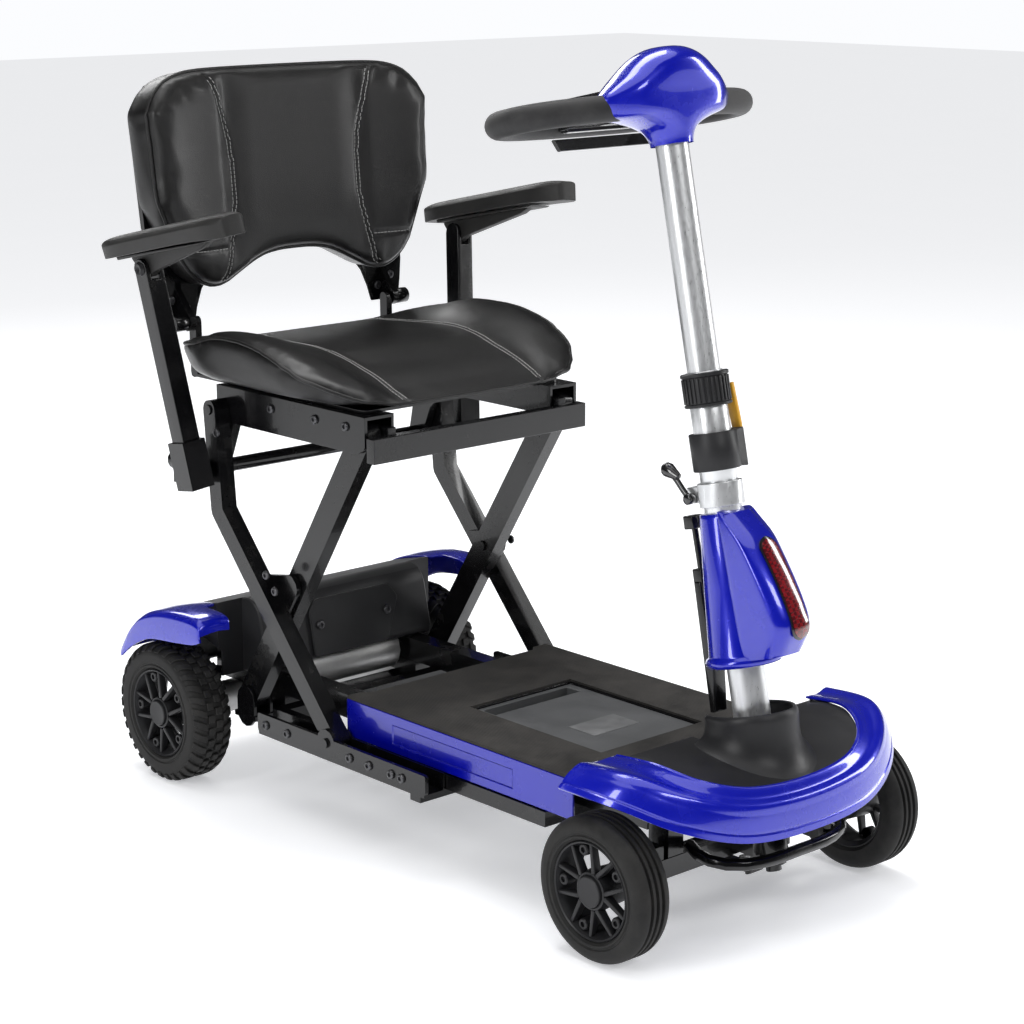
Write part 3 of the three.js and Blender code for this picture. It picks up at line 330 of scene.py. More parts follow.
def bolt_head():
    """One button-head bolt that points along +X, its seat at the origin."""
    deselect()
    bpy.ops.mesh.primitive_cylinder_add(vertices=18, radius=BOLT_RADIUS * MM, depth=BOLT_HEIGHT * MM,
                                        location=(0, 0, BOLT_HEIGHT / 2 * MM))
    head = settle(bpy.context.object)
    faces_where(head, lambda c, n: n.z > 0.9)
    bpy.ops.mesh.bevel(offset=1.6 * MM, segments=3, affect="EDGES")
    bpy.ops.object.mode_set(mode="OBJECT")
    faces_where(head, lambda c, n: n.z > 0.98 and c.z > 0.9 * BOLT_HEIGHT * MM)
    bpy.ops.mesh.inset(thickness=1.3 * MM)
    bpy.ops.mesh.extrude_region_move(TRANSFORM_OT_translate={"value": (0, 0, -1.8 * MM)})
    bpy.ops.object.mode_set(mode="OBJECT")
    head.rotation_euler = (0, pi / 2, 0)
    return settle(head)


def copied(source, matrix):
    """A copy with a mesh of its own, placed by the matrix."""
    copy = source.copy()
    copy.data = source.data.copy()
    bpy.context.collection.objects.link(copy)
    copy.data.transform(matrix)
    return copy


def copies(source, matrices, name):
    """One mesh made of copies of the source, each placed by its matrix. The source goes away."""
    made = [copied(source, matrix) for matrix in matrices]
    bpy.data.objects.remove(source)
    return joined(made, name)


def mirrored(piece):
    """Turns a piece of the left side into its match on the right."""
    piece.data.transform(Matrix.Diagonal((-1, 1, 1, 1)))
    piece.data.flip_normals()
    return piece


def shift(x, y, z):
    """A move by millimetres."""
    return Matrix.Translation(Vector((x, y, z)) * MM)


def outward(x, y, z):
    """The place of a bolt whose head looks away from the middle plane."""
    turn = Matrix.Identity(4) if x > 0 else Matrix.Rotation(pi, 4, "Z")
    return shift(x, y, z) @ turn


def bolts(places, name, body):
    """A set of button-head bolts tied to one body."""
    dressed(copies(bolt_head(), places, name), name, body, zinc)


zinc = Finish("black_zinc", {"Metallic": 0.85})
zinc_wear = zinc.noise(220.0, 4.0)
zinc.varied(zinc_wear, (0.05, 0.05, 0.055), (0.14, 0.14, 0.145), 0.28, 0.45)
zinc.relief(zinc_wear, 0.06 * MM)

SIDES = (-1, 1)
NAMED_SIDES = ((1, "left"), (-1, "right"))
BOLT_SEAT = 3.0
CARRIAGE_BOLTS = [(223, 110), (180, 110), (58, 110), (22, 110), (-19, 110), (-38, 110)]
ARM_BOLTS = [(205, 283), (222, 300), (317, 462)]
RAIL_BOLTS = [(92, 500), (150, 500), (236, 500)]
RAIL_FACE = 168.0
carriage_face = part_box("carriage")[1].x / MM - BOLT_SEAT
arm_face = -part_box("outer_arm_right")[0].x / MM
for name, body, face, places in (
        ("carriage_bolts", "side_carriage", carriage_face, CARRIAGE_BOLTS),
        ("arm_bolts", "outer_arms", arm_face, ARM_BOLTS),
        ("rail_bolts", "seat", RAIL_FACE, RAIL_BOLTS)):
    bolts([outward(side * face, y, z) for side in SIDES for y, z in places], name, body)

# ---- Foot deck -----------------------------------------------------------------------------
# A pressed tray in blue lacquer with a ribbed rubber mat on top. The battery's grey moulded lid
# lies in the mat, with a hand slot behind it and a plain plate on top.
DEEP_BLUE = (0.0006, 0.0016, 0.3)
CLEAR_BLUE = (0.001, 0.005, 0.46)
FLAKE_BLUE = (0.004, 0.02, 0.8)
lacquer = Finish("blue_lacquer", {"Metallic": 0.25, "Coat Weight": 1.0, "Coat Roughness": 0.03})
tray_finish = Finish("tray_lacquer", {"Metallic": 0.25, "Coat Weight": 0.8, "Coat Roughness": 0.05})
for finish in (lacquer, tray_finish):
    finish.rough(finish.spread(finish.noise(40.0), 0.3, 0.7, 0.2, 0.3))
    finish.relief(finish.noise(120.0, 1.0), 0.05 * MM, 0.2)
base_blue = lacquer.blend(lacquer.noise(5.0, 2.0), DEEP_BLUE, CLEAR_BLUE)
lacquer.colour((lacquer.cells(2600.0) > 0.42) * 0.25, base_blue, FLAKE_BLUE)

# The tray is painted blue on its sides and black under the mat.
EDGE_IN = 0.158
across = tray_finish.node("ShaderNodeSeparateXYZ", values={0: tray_finish.place()})
side_face = tray_finish.node("ShaderNodeMath", {"operation": "ABSOLUTE"}, {0: across}) > EDGE_IN
tray_blue = tray_finish.blend(tray_finish.noise(5.0, 2.0), DEEP_BLUE, CLEAR_BLUE)
tray_finish.colour(side_face, (0.006, 0.006, 0.007), tray_blue)
soften("deck_tray", tray_finish)

ribbed = Finish("ribbed_rubber", {"Specular IOR Level": 0.16})
ribs = ribbed.node("ShaderNodeTexWave", {"bands_direction": "X"}, {
    "Vector": ribbed.place(), "Scale": 95.0, "Distortion": 0.3, "Detail": 1.0}, output=1)
scuffs = ribbed.noise(18.0, 6.0, 0.7)
ribbed.colour(ribbed.spread(scuffs, 0.35, 0.7), (0.02, 0.019, 0.018), (0.05, 0.047, 0.044))
ribbed.rough(ribbed.spread(scuffs, 0.3, 0.7, 0.62, 0.85))
ribbed.relief(ribs + ribbed.noise(500.0) * 0.7, 0.25 * MM, 0.6)
soften("deck_mat", ribbed, 0.6 * MM)

grained = Finish("grey_grained_plastic", {"Specular IOR Level": 0.45})
grained.varied(grained.noise(20.0, 4.0), (0.05, 0.052, 0.054), (0.085, 0.087, 0.09), 0.42, 0.56)
grained.relief(grained.cells(1100.0), 0.1 * MM, 0.5)
soften("battery_pack", grained, 1.5 * MM)

lid_low, lid_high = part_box("battery_pack")
LID_PLATE = (72 * MM, 44 * MM)
LID_PLATE_AT = (0.0, lid_low.y + 78 * MM)
deselect()
bpy.ops.mesh.primitive_cube_add(size=1, location=(*LID_PLATE_AT, lid_high.z + 0.2 * MM))
lid_plate = bpy.context.object
lid_plate.scale = (*LID_PLATE, 0.7 * MM)
settle(lid_plate)
modified(lid_plate, "BEVEL", width=0.25 * MM, segments=2)
plate_finish = Finish("pale_grey_plate", {"Metallic": 0.2})
plate_wear = plate_finish.noise(90.0, 5.0)
plate_finish.varied(plate_wear, (0.12, 0.122, 0.125), (0.17, 0.172, 0.175), 0.35, 0.5)
plate_finish.relief(plate_wear, 0.04 * MM)
dressed(lid_plate, "lid_plate", "battery", plate_finish)

# ---- Front cover ---------------------------------------------------------------------------
# A moulded blue band runs round the front from wheel arch to wheel arch, with a crease along its
# crest. A satin black panel fills it, and a collar rises from the panel round the tiller.
COVER_PANEL_EDGE = [(0, -474, 180), (75, -467, 184), (124, -442, 196), (148, -400, 207), (150, -345, 203)]
COVER_CREST = [(0, -489, 160), (92, -481, 166), (156, -452, 184), (194, -405, 203), (200, -335, 201)]
COVER_SKIRT = [(0, -494, 127), (95, -485.5, 132), (168, -456.5, 153), (213, -408, 177), (228, -335, 184)]
SHELL = 3.0


def smooth(value):
    """An even blend from 0 to 1."""
    value = min(1.0, max(0.0, value))
    return value * value * (3 - 2 * value)


def spline(points, t):
    """A point on a smooth curve through the points, t from 0 to 1."""
    last = len(points) - 1
    start = min(int(t * last), last - 1)
    f = t * last - start
    a, b, c, d = (Vector(points[max(0, min(last, start + k))]) for k in (-1, 0, 1, 2))
    bend = 2 * a - 5 * b + 4 * c - d
    twist = 3 * b - a - 3 * c + d
    return 0.5 * (2 * b + (c - a) * f + bend * f ** 2 + twist * f ** 3)


def mirrored_run(points):
    return [(-x, y, z) for x, y, z in reversed(points[1:])] + list(points)


def sheet_of(name, across, along, place, wall=0.0, inside=True):
    """A grid laid out by place(u, v) in millimetres, with a wall on one side if it has one."""
    deselect()
    bpy.ops.mesh.primitive_grid_add(x_subdivisions=across, y_subdivisions=along, size=1)
    made = bpy.context.object
    for vertex in made.data.vertices:
        u = min(max(vertex.co.x + 0.5, 0), 1)
        v = min(max(vertex.co.y + 0.5, 0), 1)
        vertex.co = Vector(place(u, v)) * MM
    made.name = name
    if wall:
        modified(made, "SOLIDIFY", thickness=wall * MM, offset=-1.0 if inside else 1.0)
        begin_edit()
        end_edit(recalculate=True)
    return made


BAND_CURVES = [mirrored_run(points) for points in (COVER_PANEL_EDGE, COVER_CREST, COVER_SKIRT)]
LIP_WIDTH = 0.1
CREASE_AT = 0.46
FOOT_GROOVE = 0.84


def band(u, v):
    """Across the band: a rolled lip, a hollow, the crest with its crease, and the skirt."""
    rail = [spline(curve, u) for curve in BAND_CURVES]
    here = spline(rail, v)
    sideways = spline(rail, min(v + 0.02, 1)) - spline(rail, max(v - 0.02, 0))
    onward = spline(BAND_CURVES[1], min(u + 0.01, 1)) - spline(BAND_CURVES[1], max(u - 0.01, 0))
    out = onward.cross(sideways).normalized() * -1
    if out.z < 0 and v < 0.3:
        out = -out
    lip = 2.0 * max(0.0, 1 - v / LIP_WIDTH) ** 2
    hollow = -2.2 * sin(pi * min(1, max(0, (v - LIP_WIDTH) / (CREASE_AT - LIP_WIDTH)))) ** 2
    crease = 1.5 * max(0.0, 1 - abs(v - CREASE_AT) / 0.12)
    groove = -1.6 * max(0.0, 1 - abs(v - FOOT_GROOVE) / 0.04)
    return here + out * (lip + hollow + crease + groove)


cover = sheet_of("front_cover_skin", 84, 50, band, SHELL)
rounded_off(cover, 0.8, 2, 50)
dressed(cover, "front_cover_skin", "chassis", lacquer, ["front_cover"], 24)

satin = Finish("satin_black_plastic", {"Specular IOR Level": 0.3})
satin.varied(satin.noise(12.0, 5.0), (0.012, 0.012, 0.013), (0.026, 0.026, 0.028), 0.36, 0.5)
satin.relief(satin.cells(1500.0) + satin.noise(300.0) * 0.4, 0.07 * MM, 0.45)

PANEL_REAR = -345
PANEL_CROWN = 7.0
panel_run = mirrored_run(COVER_PANEL_EDGE)
COLLAR_Y = -402
COLLAR_WELL = 40


def panel(u, v):
    """The black panel: it follows the band in front, is crowned, and swells towards the collar."""
    spread = 0.01 + 0.98 * u
    half = spline(panel_run, 0.5 + abs(spread - 0.5))
    tuck = 1 + 0.05 * smooth((abs(2 * spread - 1) - 0.6) / 0.35)
    x = (1 if spread > 0.5 else -1) * abs(half.x) * tuck
    front = Vector((x, half.y - 3.0 * (1 - v), half.z - 1.4))
    back = Vector((x, PANEL_REAR, 201))
    here = front.lerp(back, v)
    crown = PANEL_CROWN * sin(pi * v) * (1 - (2 * spread - 1) ** 2)
    away_from_collar = sqrt((here.x / 78) ** 2 + ((here.y - COLLAR_Y) / 66) ** 2)
    swell = 9 * max(0.0, 1 - away_from_collar) ** 2
    return here + Vector((0, 0, crown + swell))


front_panel = sheet_of("front_panel_skin", 84, 44, panel)
faces_where(front_panel, lambda c, n: (c.x / MM / 36) ** 2 + ((c.y / MM - COLLAR_Y) / COLLAR_WELL) ** 2 < 1
            or (abs(c.x / MM) < 34 and c.y / MM > COLLAR_Y))
bpy.ops.mesh.delete(type="FACE")
bpy.ops.object.mode_set(mode="OBJECT")
modified(front_panel, "SOLIDIFY", thickness=SHELL * MM, offset=-1.0)
dressed(front_panel, "front_panel_skin", "chassis", satin, ["front_panel"], 60)

COLLAR_RADIUS = 49
COLLAR_OPEN = 1.36
COLLAR_FLARE = 17


def skin_of(piece):
    """A search tree over the piece's surface."""
    return BVHTree.FromPolygons([v.co.copy() for v in piece.data.vertices],
                                [p.vertices[:] for p in piece.data.polygons])


panel_tree = skin_of(front_panel)


def panel_height(x, y):
    """The height of the panel's upper face at a place, or of its nearest point."""
    down = Vector((0, 0, -1))
    hit = panel_tree.ray_cast(Vector((x * MM, y * MM, 0.4)), down)[0]
    if hit is None:
        hit = panel_tree.find_nearest(Vector((x, y, 208)) * MM)[0]
    return hit.z / MM


def collar(u, v):
    """A ring open at the back, low at its sides and high in front, that flares into the panel."""
    angle = (u - 0.5) * COLLAR_OPEN * pi - pi / 2
    flare = COLLAR_RADIUS + COLLAR_FLARE * (1 - v) ** 3.4
    front = -sin(angle)
    rolled = -3.5 * max(0.0, (v - 0.9) / 0.1) ** 2
    base = COLLAR_RADIUS + COLLAR_FLARE
    foot = panel_height(base * cos(angle), COLLAR_Y + base * 1.12 * sin(angle)) - 0.6
    brim = 238 + 10 * front
    return (
        (flare + rolled) * cos(angle),
        COLLAR_Y + (flare + rolled) * 1.12 * sin(angle) + 6 * v,
        foot + (brim - foot) * v ** 1.15)


boot = sheet_of("tiller_boot_skin", 56, 18, collar, SHELL)
rounded_off(boot, 0.9, 2, 50)
dressed(boot, "tiller_boot_skin", "chassis", satin, ["tiller_boot"], 60)

# ---- Drive cover and rear fenders ----------------------------------------------------------
# A charcoal moulded box covers the motor between the rear wheels and has a raised plate with two
# screws. A glossy blue fender curves over each wheel. The motor below is cast aluminium.
soften("drive_cover", satin, 3.0 * MM)
soften("drive_cover_plate", satin, 1.2 * MM)

FENDER_TOP = [(297, 216), (301, 231), (330, 235), (380, 231), (424, 218), (452, 196), (475, 162)]
FENDER_FOOT = [(295, 208), (312, 202), (350, 197), (405, 190), (440, 175), (458, 163), (471, 153)]
FENDER_IN = 175.0
FENDER_OUT = 242.0
FENDER_CREASE = 0.58
FENDER_EDGE = 0.72
FENDER_WALL = 2.6
ARM_ROOM = 20.0


def fender(u, v):
    """From the inner edge over the top, down a bevelled shoulder and the outer skirt."""
    top, foot = spline(FENDER_TOP, v), spline(FENDER_FOOT, v)
    inner = FENDER_IN + ARM_ROOM * (1 - smooth((top.x - 346) / 10))
    shoulder = FENDER_OUT - 11
    if u < FENDER_CREASE:
        share = u / FENDER_CREASE
        return inner + (shoulder - inner) * share, top.x, top.y + 1.6 * sin(pi * share)
    if u < FENDER_EDGE:
        share = (u - FENDER_CREASE) / (FENDER_EDGE - FENDER_CREASE)
        here = top.lerp(foot, 0.16 * share ** 1.4)
        return shoulder + 9 * share, here.x, here.y
    share = (u - FENDER_EDGE) / (1 - FENDER_EDGE)
    here = top.lerp(foot, 0.16 + 0.84 * share)
    return FENDER_OUT - 2 + 2 * sin(pi / 2 * share), here.x, here.y


for side, name in NAMED_SIDES:
    skin = sheet_of(f"fender_{name}_skin", 40, 60, fender)
    if side < 0:
        mirrored(skin)
    modified(skin, "SOLIDIFY", thickness=FENDER_WALL * MM, offset=-1.0)
    rounded_off(skin, 0.9, 2, 60)
    dressed(skin, f"fender_{name}_skin", "chassis", lacquer, [f"fender_{name}"], 50)

cast = Finish("cast_aluminium", {"Metallic": 0.9})
pits = cast.noise(420.0, 4.0)
cast.colour(cast.noise(30.0), (0.42, 0.42, 0.42), (0.62, 0.62, 0.61))
cast.rough(cast.spread(pits, 0.3, 0.7, 0.35, 0.55))
cast.relief(pits, 0.15 * MM, 0.5)
soften("drive_motor", cast)

SCREW_XS = (-48, 62)
SCREW_IN = (8, 40)
plate_low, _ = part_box("drive_cover_plate")
lying = Matrix.Rotation(-pi / 2, 4, "Z") @ Matrix.Rotation(radians(-12), 4, "Y")
bolts([shift(x, plate_low.y / MM + SCREW_IN[0], plate_low.z / MM + SCREW_IN[1]) @ lying for x in SCREW_XS],
      "plate_screws", "chassis")

# ---- Wheels --------------------------------------------------------------------------------
# Solid rubber tyres on moulded rims with five pairs of spokes and a flat hub cap. The front
# tyres have three grooves, and the rear ones a tread of curved blocks. Both rims are bolted.
rubber = Finish("tyre_rubber", {"Specular IOR Level": 0.2})
bloom = rubber.noise(24.0, 6.0, 0.7)
rubber.colour(rubber.spread(bloom, 0.35, 0.7), (0.011, 0.011, 0.011), (0.03, 0.029, 0.028))
rubber.rough(rubber.spread(bloom, 0.3, 0.7, 0.5, 0.72))
rubber.relief(rubber.noise(700.0, 3.0), 0.1 * MM, 0.5)

moulded = Finish("moulded_rim", {"Specular IOR Level": 0.3})
moulded.varied(moulded.noise(35.0, 4.0), (0.009, 0.009, 0.01), (0.022, 0.022, 0.024), 0.34, 0.5)
moulded.relief(moulded.cells(1300.0), 0.06 * MM, 0.4)

WHEEL_STEPS = 96


def turned(name, profile, steps=WHEEL_STEPS):
    """A ring turned about X from (x, radius) points in millimetres."""
    deselect()
    bpy.ops.mesh.primitive_plane_add(size=1)
    made = bpy.context.object
    made.data.clear_geometry()
    made.data.from_pydata([(x * MM, 0, r * MM) for x, r in profile], [
        (i, i + 1) for i in range(len(profile) - 1)], [])
    begin_edit()
    bpy.ops.mesh.spin(steps=steps, angle=2 * pi, center=(0, 0, 0), axis=(1, 0, 0))
    bpy.ops.mesh.select_all(action="SELECT")
    bpy.ops.mesh.remove_doubles(threshold=0.02 * MM)
    end_edit(recalculate=True)
    made.name = name
    return made


def arc(x, r, radius, start, stop, count=6):
    """Points of a round from start to stop degrees about (x, r)."""
    steps = [radians(start + (stop - start) * i / (count - 1)) for i in range(count)]
    return [(x + radius * cos(a), r + radius * sin(a)) for a in steps]


GROOVE = [(2.3, 0.6), (1.5, 3.8), (-1.5, 3.8), (-2.3, 0.6)]
SHOULDER = 13.0


def tyre(radius, width, rim, grooves):
    """A tyre with round shoulders, a ring moulded on each sidewall, and its grooves."""
    half = width / 2
    shoulder = arc(half - SHOULDER, radius - SHOULDER - 0.6, SHOULDER, 0, 88, 9)
    profile = [(half - 4, rim - 1), (half, rim + 2), (half, rim + 4), (half - 1.2, rim + 5),
               (half - 1.2, rim + 6.5), (half, rim + 8)]
    profile += shoulder
    profile += [(x - at, radius - depth) for at in grooves for x, depth in GROOVE]
    profile += [(-x, r) for x, r in reversed(shoulder)]
    profile += [(-half, rim + 8), (-half, rim + 2), (-half + 4, rim - 1), (half - 4, rim - 1)]
    return turned("tyre", profile)


def tread_block(radius, x0, x1, sweep, length):
    """A tread block across part of the tyre, swept round as it nears the shoulder."""
    def place(u, v):
        x = x0 + (x1 - x0) * u
        share = abs(x) / 29.0
        r = radius - 13.4 + 13.6 * sqrt(max(0.05, 1 - max(0.0, (abs(x) - 16) / 13.2) ** 2))
        turn = sweep * share ** 1.6 + (v - 0.5) * length / radius
        return (x, -r * sin(turn), r * cos(turn))
    block = sheet_of("block", 5, 3, place, 3.4, inside=False)
    return rounded_off(block, 0.7, 1, 40)


def lug_tread(radius, count):
    """Rows of blocks round the tyre: two rows in the middle and a long one over each shoulder."""
    rows = [(1.2, 10.5, 0.0, 9.5, 0.0), (-10.5, -1.2, 0.0, 9.5, 0.5), (12.2, 28.6, 0.12, 8.6, 0.25),
            (-28.6, -12.2, 0.12, 8.6, 0.75)]
    parts = []
    for x0, x1, sweep, length, phase in rows:
        turns = [Matrix.Rotation(2 * pi * (i + phase) / count, 4, "X") for i in range(count)]
        parts.append(copies(tread_block(radius, x0, x1, sweep, length), turns, "row"))
    return joined(parts, "tread")


def spoke(inner, outer, width, depth, x, lean, offset):
    """One bar of a pair, thicker at the hub and rounded along its edges."""
    deselect()
    bpy.ops.mesh.primitive_cube_add(size=1, location=(x * MM, 0, (inner + outer) / 2 * MM))
    bar = bpy.context.object
    bar.scale = (depth * MM, width * MM, (outer - inner) * MM)
    settle(bar)
    faces_where(bar, lambda c, n: n.z < -0.9)
    bpy.ops.transform.resize(value=(1.25, 1.3, 1))
    bpy.ops.object.mode_set(mode="OBJECT")
    modified(bar, "BEVEL", width=1.3 * MM, segments=3)
    bar.data.transform(Matrix.Translation((0, offset * MM, 0)) @ Matrix.Rotation(lean, 4, "X"))
    return bar


def rim(width, rim_radius, cap):
    """Barrel, hub with its cap, five pairs of spokes, and a bolt boss between each pair."""
    half = width / 2
    face = half - 6
    parts = [turned("barrel", [
        (-half + 4, rim_radius - 1.4), (half - 3, rim_radius - 1.4), (half - 2, rim_radius - 2.4),
        (half - 3, rim_radius - 4), (half - 9, rim_radius - 6), (half - 12, rim_radius - 8),
        (-half + 10, rim_radius - 8), (-half + 4, rim_radius - 3), (-half + 4, rim_radius - 1.4)])]
    parts.append(turned("hub", [
        (-half + 4, 0.02), (-half + 4, 21), (half - 14, 23), (half - 7, cap + 3.5), (half - 4, cap + 3),
        (half - 3.4, cap + 1), (half - 4.6, cap + 0.4), (half - 4.4, cap), (half - 0.8, cap - 0.4),
        (half, cap - 1.6), (half - 0.3, cap * 0.5), (half - 0.3, 0.02)]))
    for i in range(5):
        turn = Matrix.Rotation(2 * pi * (i + 0.25) / 5, 4, "X")
        for side in SIDES:
            bar = spoke(18, rim_radius - 5, 4.2, 9, face - 3, side * 0.16, side * -7)
            bar.data.transform(turn)
            parts.append(bar)
        boss = turned("boss", [(face - 12, 7), (face - 1, 6.4), (face, 5.4), (face, 3.2), (face - 3, 3),
                               (face - 3, 0.02)], 18)
        boss.data.transform(turn @ Matrix.Translation((0, 0, (rim_radius - 12) * MM)))
        parts.append(boss)
    return joined(parts, "rim")


LUGS = 34
LUG_HEIGHT = 2.6
LUG_OVERHANG = 1.6
WHEEL_KINDS = {
    "front": {"width": 48.0, "radius": 81.0, "rim": 56.0, "cap": 17.5, "grooves": (-8.0, 0.0, 8.0)},
    "rear": {"width": 58.0, "radius": 90.0, "rim": 58.0, "cap": 16.5, "grooves": ()},
}
for end, kind in WHEEL_KINDS.items():
    radius, width = kind["radius"], kind["width"]
    if kind["grooves"]:
        tyre_model = tyre(radius, width, kind["rim"], kind["grooves"])
    else:
        carcass = tyre(radius - LUG_HEIGHT, width - LUG_OVERHANG, kind["rim"], ())
        tyre_model = joined([carcass, lug_tread(radius, LUGS)], "tyre_model")
    rim_model = rim(width, kind["rim"], kind["cap"])
    for side, name in NAMED_SIDES:
        low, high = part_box(f"{end}_{name}_tyre")
        turn = Matrix.Identity(4) if side > 0 else Matrix.Rotation(pi, 4, "Z")
        for model, part, finish, slot in (
                (tyre_model, "tyre", rubber, "tyre"), (rim_model, "rim", moulded, "rim")):
            dressed(copied(model, Matrix.Translation((low + high) / 2) @ turn), f"{end}_{name}_{part}_skin",
                    f"wheel_{end}_{name}", finish, [f"{end}_{name}_{part}"], 35)
    bpy.data.objects.remove(tyre_model)
    bpy.data.objects.remove(rim_model)

# ---- Seat cushion --------------------------------------------------------------------------
# Foam on a board under black leather. The sides rise in two wings, the front rolls down, and two
# double-stitched seams run from back to front. Piping closes the edge of the top panel.
leather = Finish("black_leather", {
    "Specular IOR Level": 0.32, "Coat Weight": 0.12, "Coat Roughness": 0.2})
pores = leather.cells(620.0, "DISTANCE_TO_EDGE")
creases = leather.noise(150.0, 6.0, 0.65)
rubbed = leather.noise(9.0, 4.0, 0.6)
leather.colour(rubbed, (0.003, 0.003, 0.0035), (0.009, 0.0085, 0.008))
leather.rough(leather.spread(rubbed, 0.3, 0.7, 0.27, 0.38) + leather.spread(pores, 0.0, 0.3, 0.08, 0.0))
leather.relief(leather.spread(pores, 0.0, 0.2) * 0.6 + creases * 0.7, 0.35 * MM, 0.4)

SEAT_HALF = 222.0
SEAT_MIDDLE = 223.0
SEAT_DEPTH = 177.0
SEAT_CREST = [(48, 529), (100, 555), (150, 580), (200, 592), (280, 591), (363, 577), (398, 569)]
SEAT_BASE = [(48, 528), (73, 551), (115, 563), (200, 567), (280, 566), (340, 565), (398, 564)]
SEAM_X = 92.0


def height_at(profile, share):
    return spline(profile, min(1.0, max(0.0, share))).y


def seat_plan(a, b):
    """The cushion's outline: rounder corners at the front than at the back."""
    front = b < 0
    x = SEAT_HALF * a * (1 - (0.09 if front else 0.1) * b ** 6)
    y = SEAT_MIDDLE + SEAT_DEPTH * b * (1 - (0.3 if front else 0.14) * a ** 6)
    return x, y


def seat_top(a, b):
    x, y = seat_plan(a, b)
    share = (y - (SEAT_MIDDLE - SEAT_DEPTH)) / (2 * SEAT_DEPTH)
    wing = smooth((abs(x) / SEAT_HALF - 0.42) / 0.52)
    rolled = 5.0 * max(0.0, (max(abs(a), abs(b)) - 0.94) / 0.06) ** 2
    return height_at(SEAT_BASE, share) * (1 - wing) + height_at(SEAT_CREST, share) * wing - rolled


def seat_point(a, b, c):
    x, y = seat_plan(a, b)
    low = 520.5 + 15 * a ** 4 + 3 * max(0.0, b) ** 4
    top = max(seat_top(a, b), low + 3)
    part = (c + 1) / 2
    inset = 1 - 0.05 * (1 - part)
    return x * inset, SEAT_MIDDLE + (y - SEAT_MIDDLE) * inset, low + (top - low) * part


def cube_form(name, cuts, place):
    """A finely divided cube whose points, from -1 to 1, are laid out by place in millimetres."""
    deselect()
    bpy.ops.mesh.primitive_cube_add(size=2)
    made = bpy.context.object
    bpy.ops.object.mode_set(mode="EDIT")
    bpy.ops.mesh.subdivide(number_cuts=cuts)
    bpy.ops.object.mode_set(mode="OBJECT")
    for vertex in made.data.vertices:
        vertex.co = Vector(place(*vertex.co)) * MM
    made.name = name
    return made


REMESH = 5.0 * MM
SIM_FRAMES = 20
CLOTH = {"quality": 5, "mass": 0.3, "tension_stiffness": 15, "compression_stiffness": 15,
         "bending_stiffness": 0.8, "use_pressure": True, "uniform_pressure_force": 4.0,
         "vertex_group_mass": "sewn"}


def puffed(form, held, cap):
    """Blows the foam up inside its cover with a cloth simulation, held down along the seams."""
    modified(form, "REMESH", mode="VOXEL", voxel_size=REMESH, use_smooth_shade=True)
    before = [vertex.co.copy() for vertex in form.data.vertices]
    pins = form.vertex_groups.new(name="sewn")
    pins.add([i for i, point in enumerate(before) if held(*(point / MM))], 1.0, "REPLACE")
    only(form)
    cloth = form.modifiers.new("cloth", "CLOTH")
    for key, value in CLOTH.items():
        setattr(cloth.settings, key, value)
    cloth.settings.effector_weights.gravity = 0
    cloth.point_cache.frame_end = SIM_FRAMES
    for step in range(1, SIM_FRAMES + 1):
        bpy.context.scene.frame_set(step)
    bpy.ops.object.modifier_apply(modifier="cloth")
    bpy.context.scene.frame_set(1)
    form.vertex_groups.clear()
    for vertex, start in zip(form.data.vertices, before):
        grown = vertex.co - start
        if grown.length > cap * MM:
            vertex.co = start + grown.normalized() * cap * MM
    modified(form, "SMOOTH", factor=0.5, iterations=8)
    modified(form, "SUBSURF", levels=1, render_levels=1)
    return form


def press_seam(piece, seams, depth, width):
    """Draws the cover in along each seam, a list of points."""
    points = [point for run in seams for point in run]
    tree = KDTree(len(points))
    for i, point in enumerate(points):
        tree.insert(point, i)
    tree.balance()
    for vertex in piece.data.vertices:
        near = tree.find(vertex.co)[2] / MM
        if near < 3 * width:
            vertex.co -= vertex.normal * depth * exp(-(near / width) ** 2) * MM
    return piece


def laid_on(skin, points, lift=0.0):
    """The points moved on to the surface, and lifted off it a little."""
    laid = []
    for point in points:
        where, normal, _, _ = skin.find_nearest(Vector(point) * MM)
        laid.append(where + normal * lift * MM)
    return laid


def cord_of(name, points, radius, closed=False, sides=3):
    """A round cord through the points, made a mesh."""
    data = bpy.data.curves.new(name, "CURVE")
    data.dimensions = "3D"
    data.bevel_depth = radius * MM
    data.bevel_resolution = sides
    data.use_fill_caps = True
    run = data.splines.new("POLY")
    run.points.add(len(points) - 1)
    for knot, point in zip(run.points, points):
        knot.co = (*point, 1)
    run.use_cyclic_u = closed
    made = bpy.data.objects.new(name, data)
    bpy.context.collection.objects.link(made)
    only(made)
    bpy.ops.object.convert(target="MESH")
    return bpy.context.object


STITCH = (3.9, 1.0, 0.9)
STITCH_PITCH = 5.2
STITCH_APART = 3.3
STITCH_LIFT = 0.3


def evened(points, pitch):
    """The points of a run set out again at an even pitch."""
    out, left = [points[0]], pitch
    for start, stop in zip(points, points[1:]):
        span = (stop - start).length
        while span >= left > 0:
            start = start + (stop - start) * (left / span)
            out.append(start)
            span = (stop - start).length
            left = pitch
        left -= span
    return out


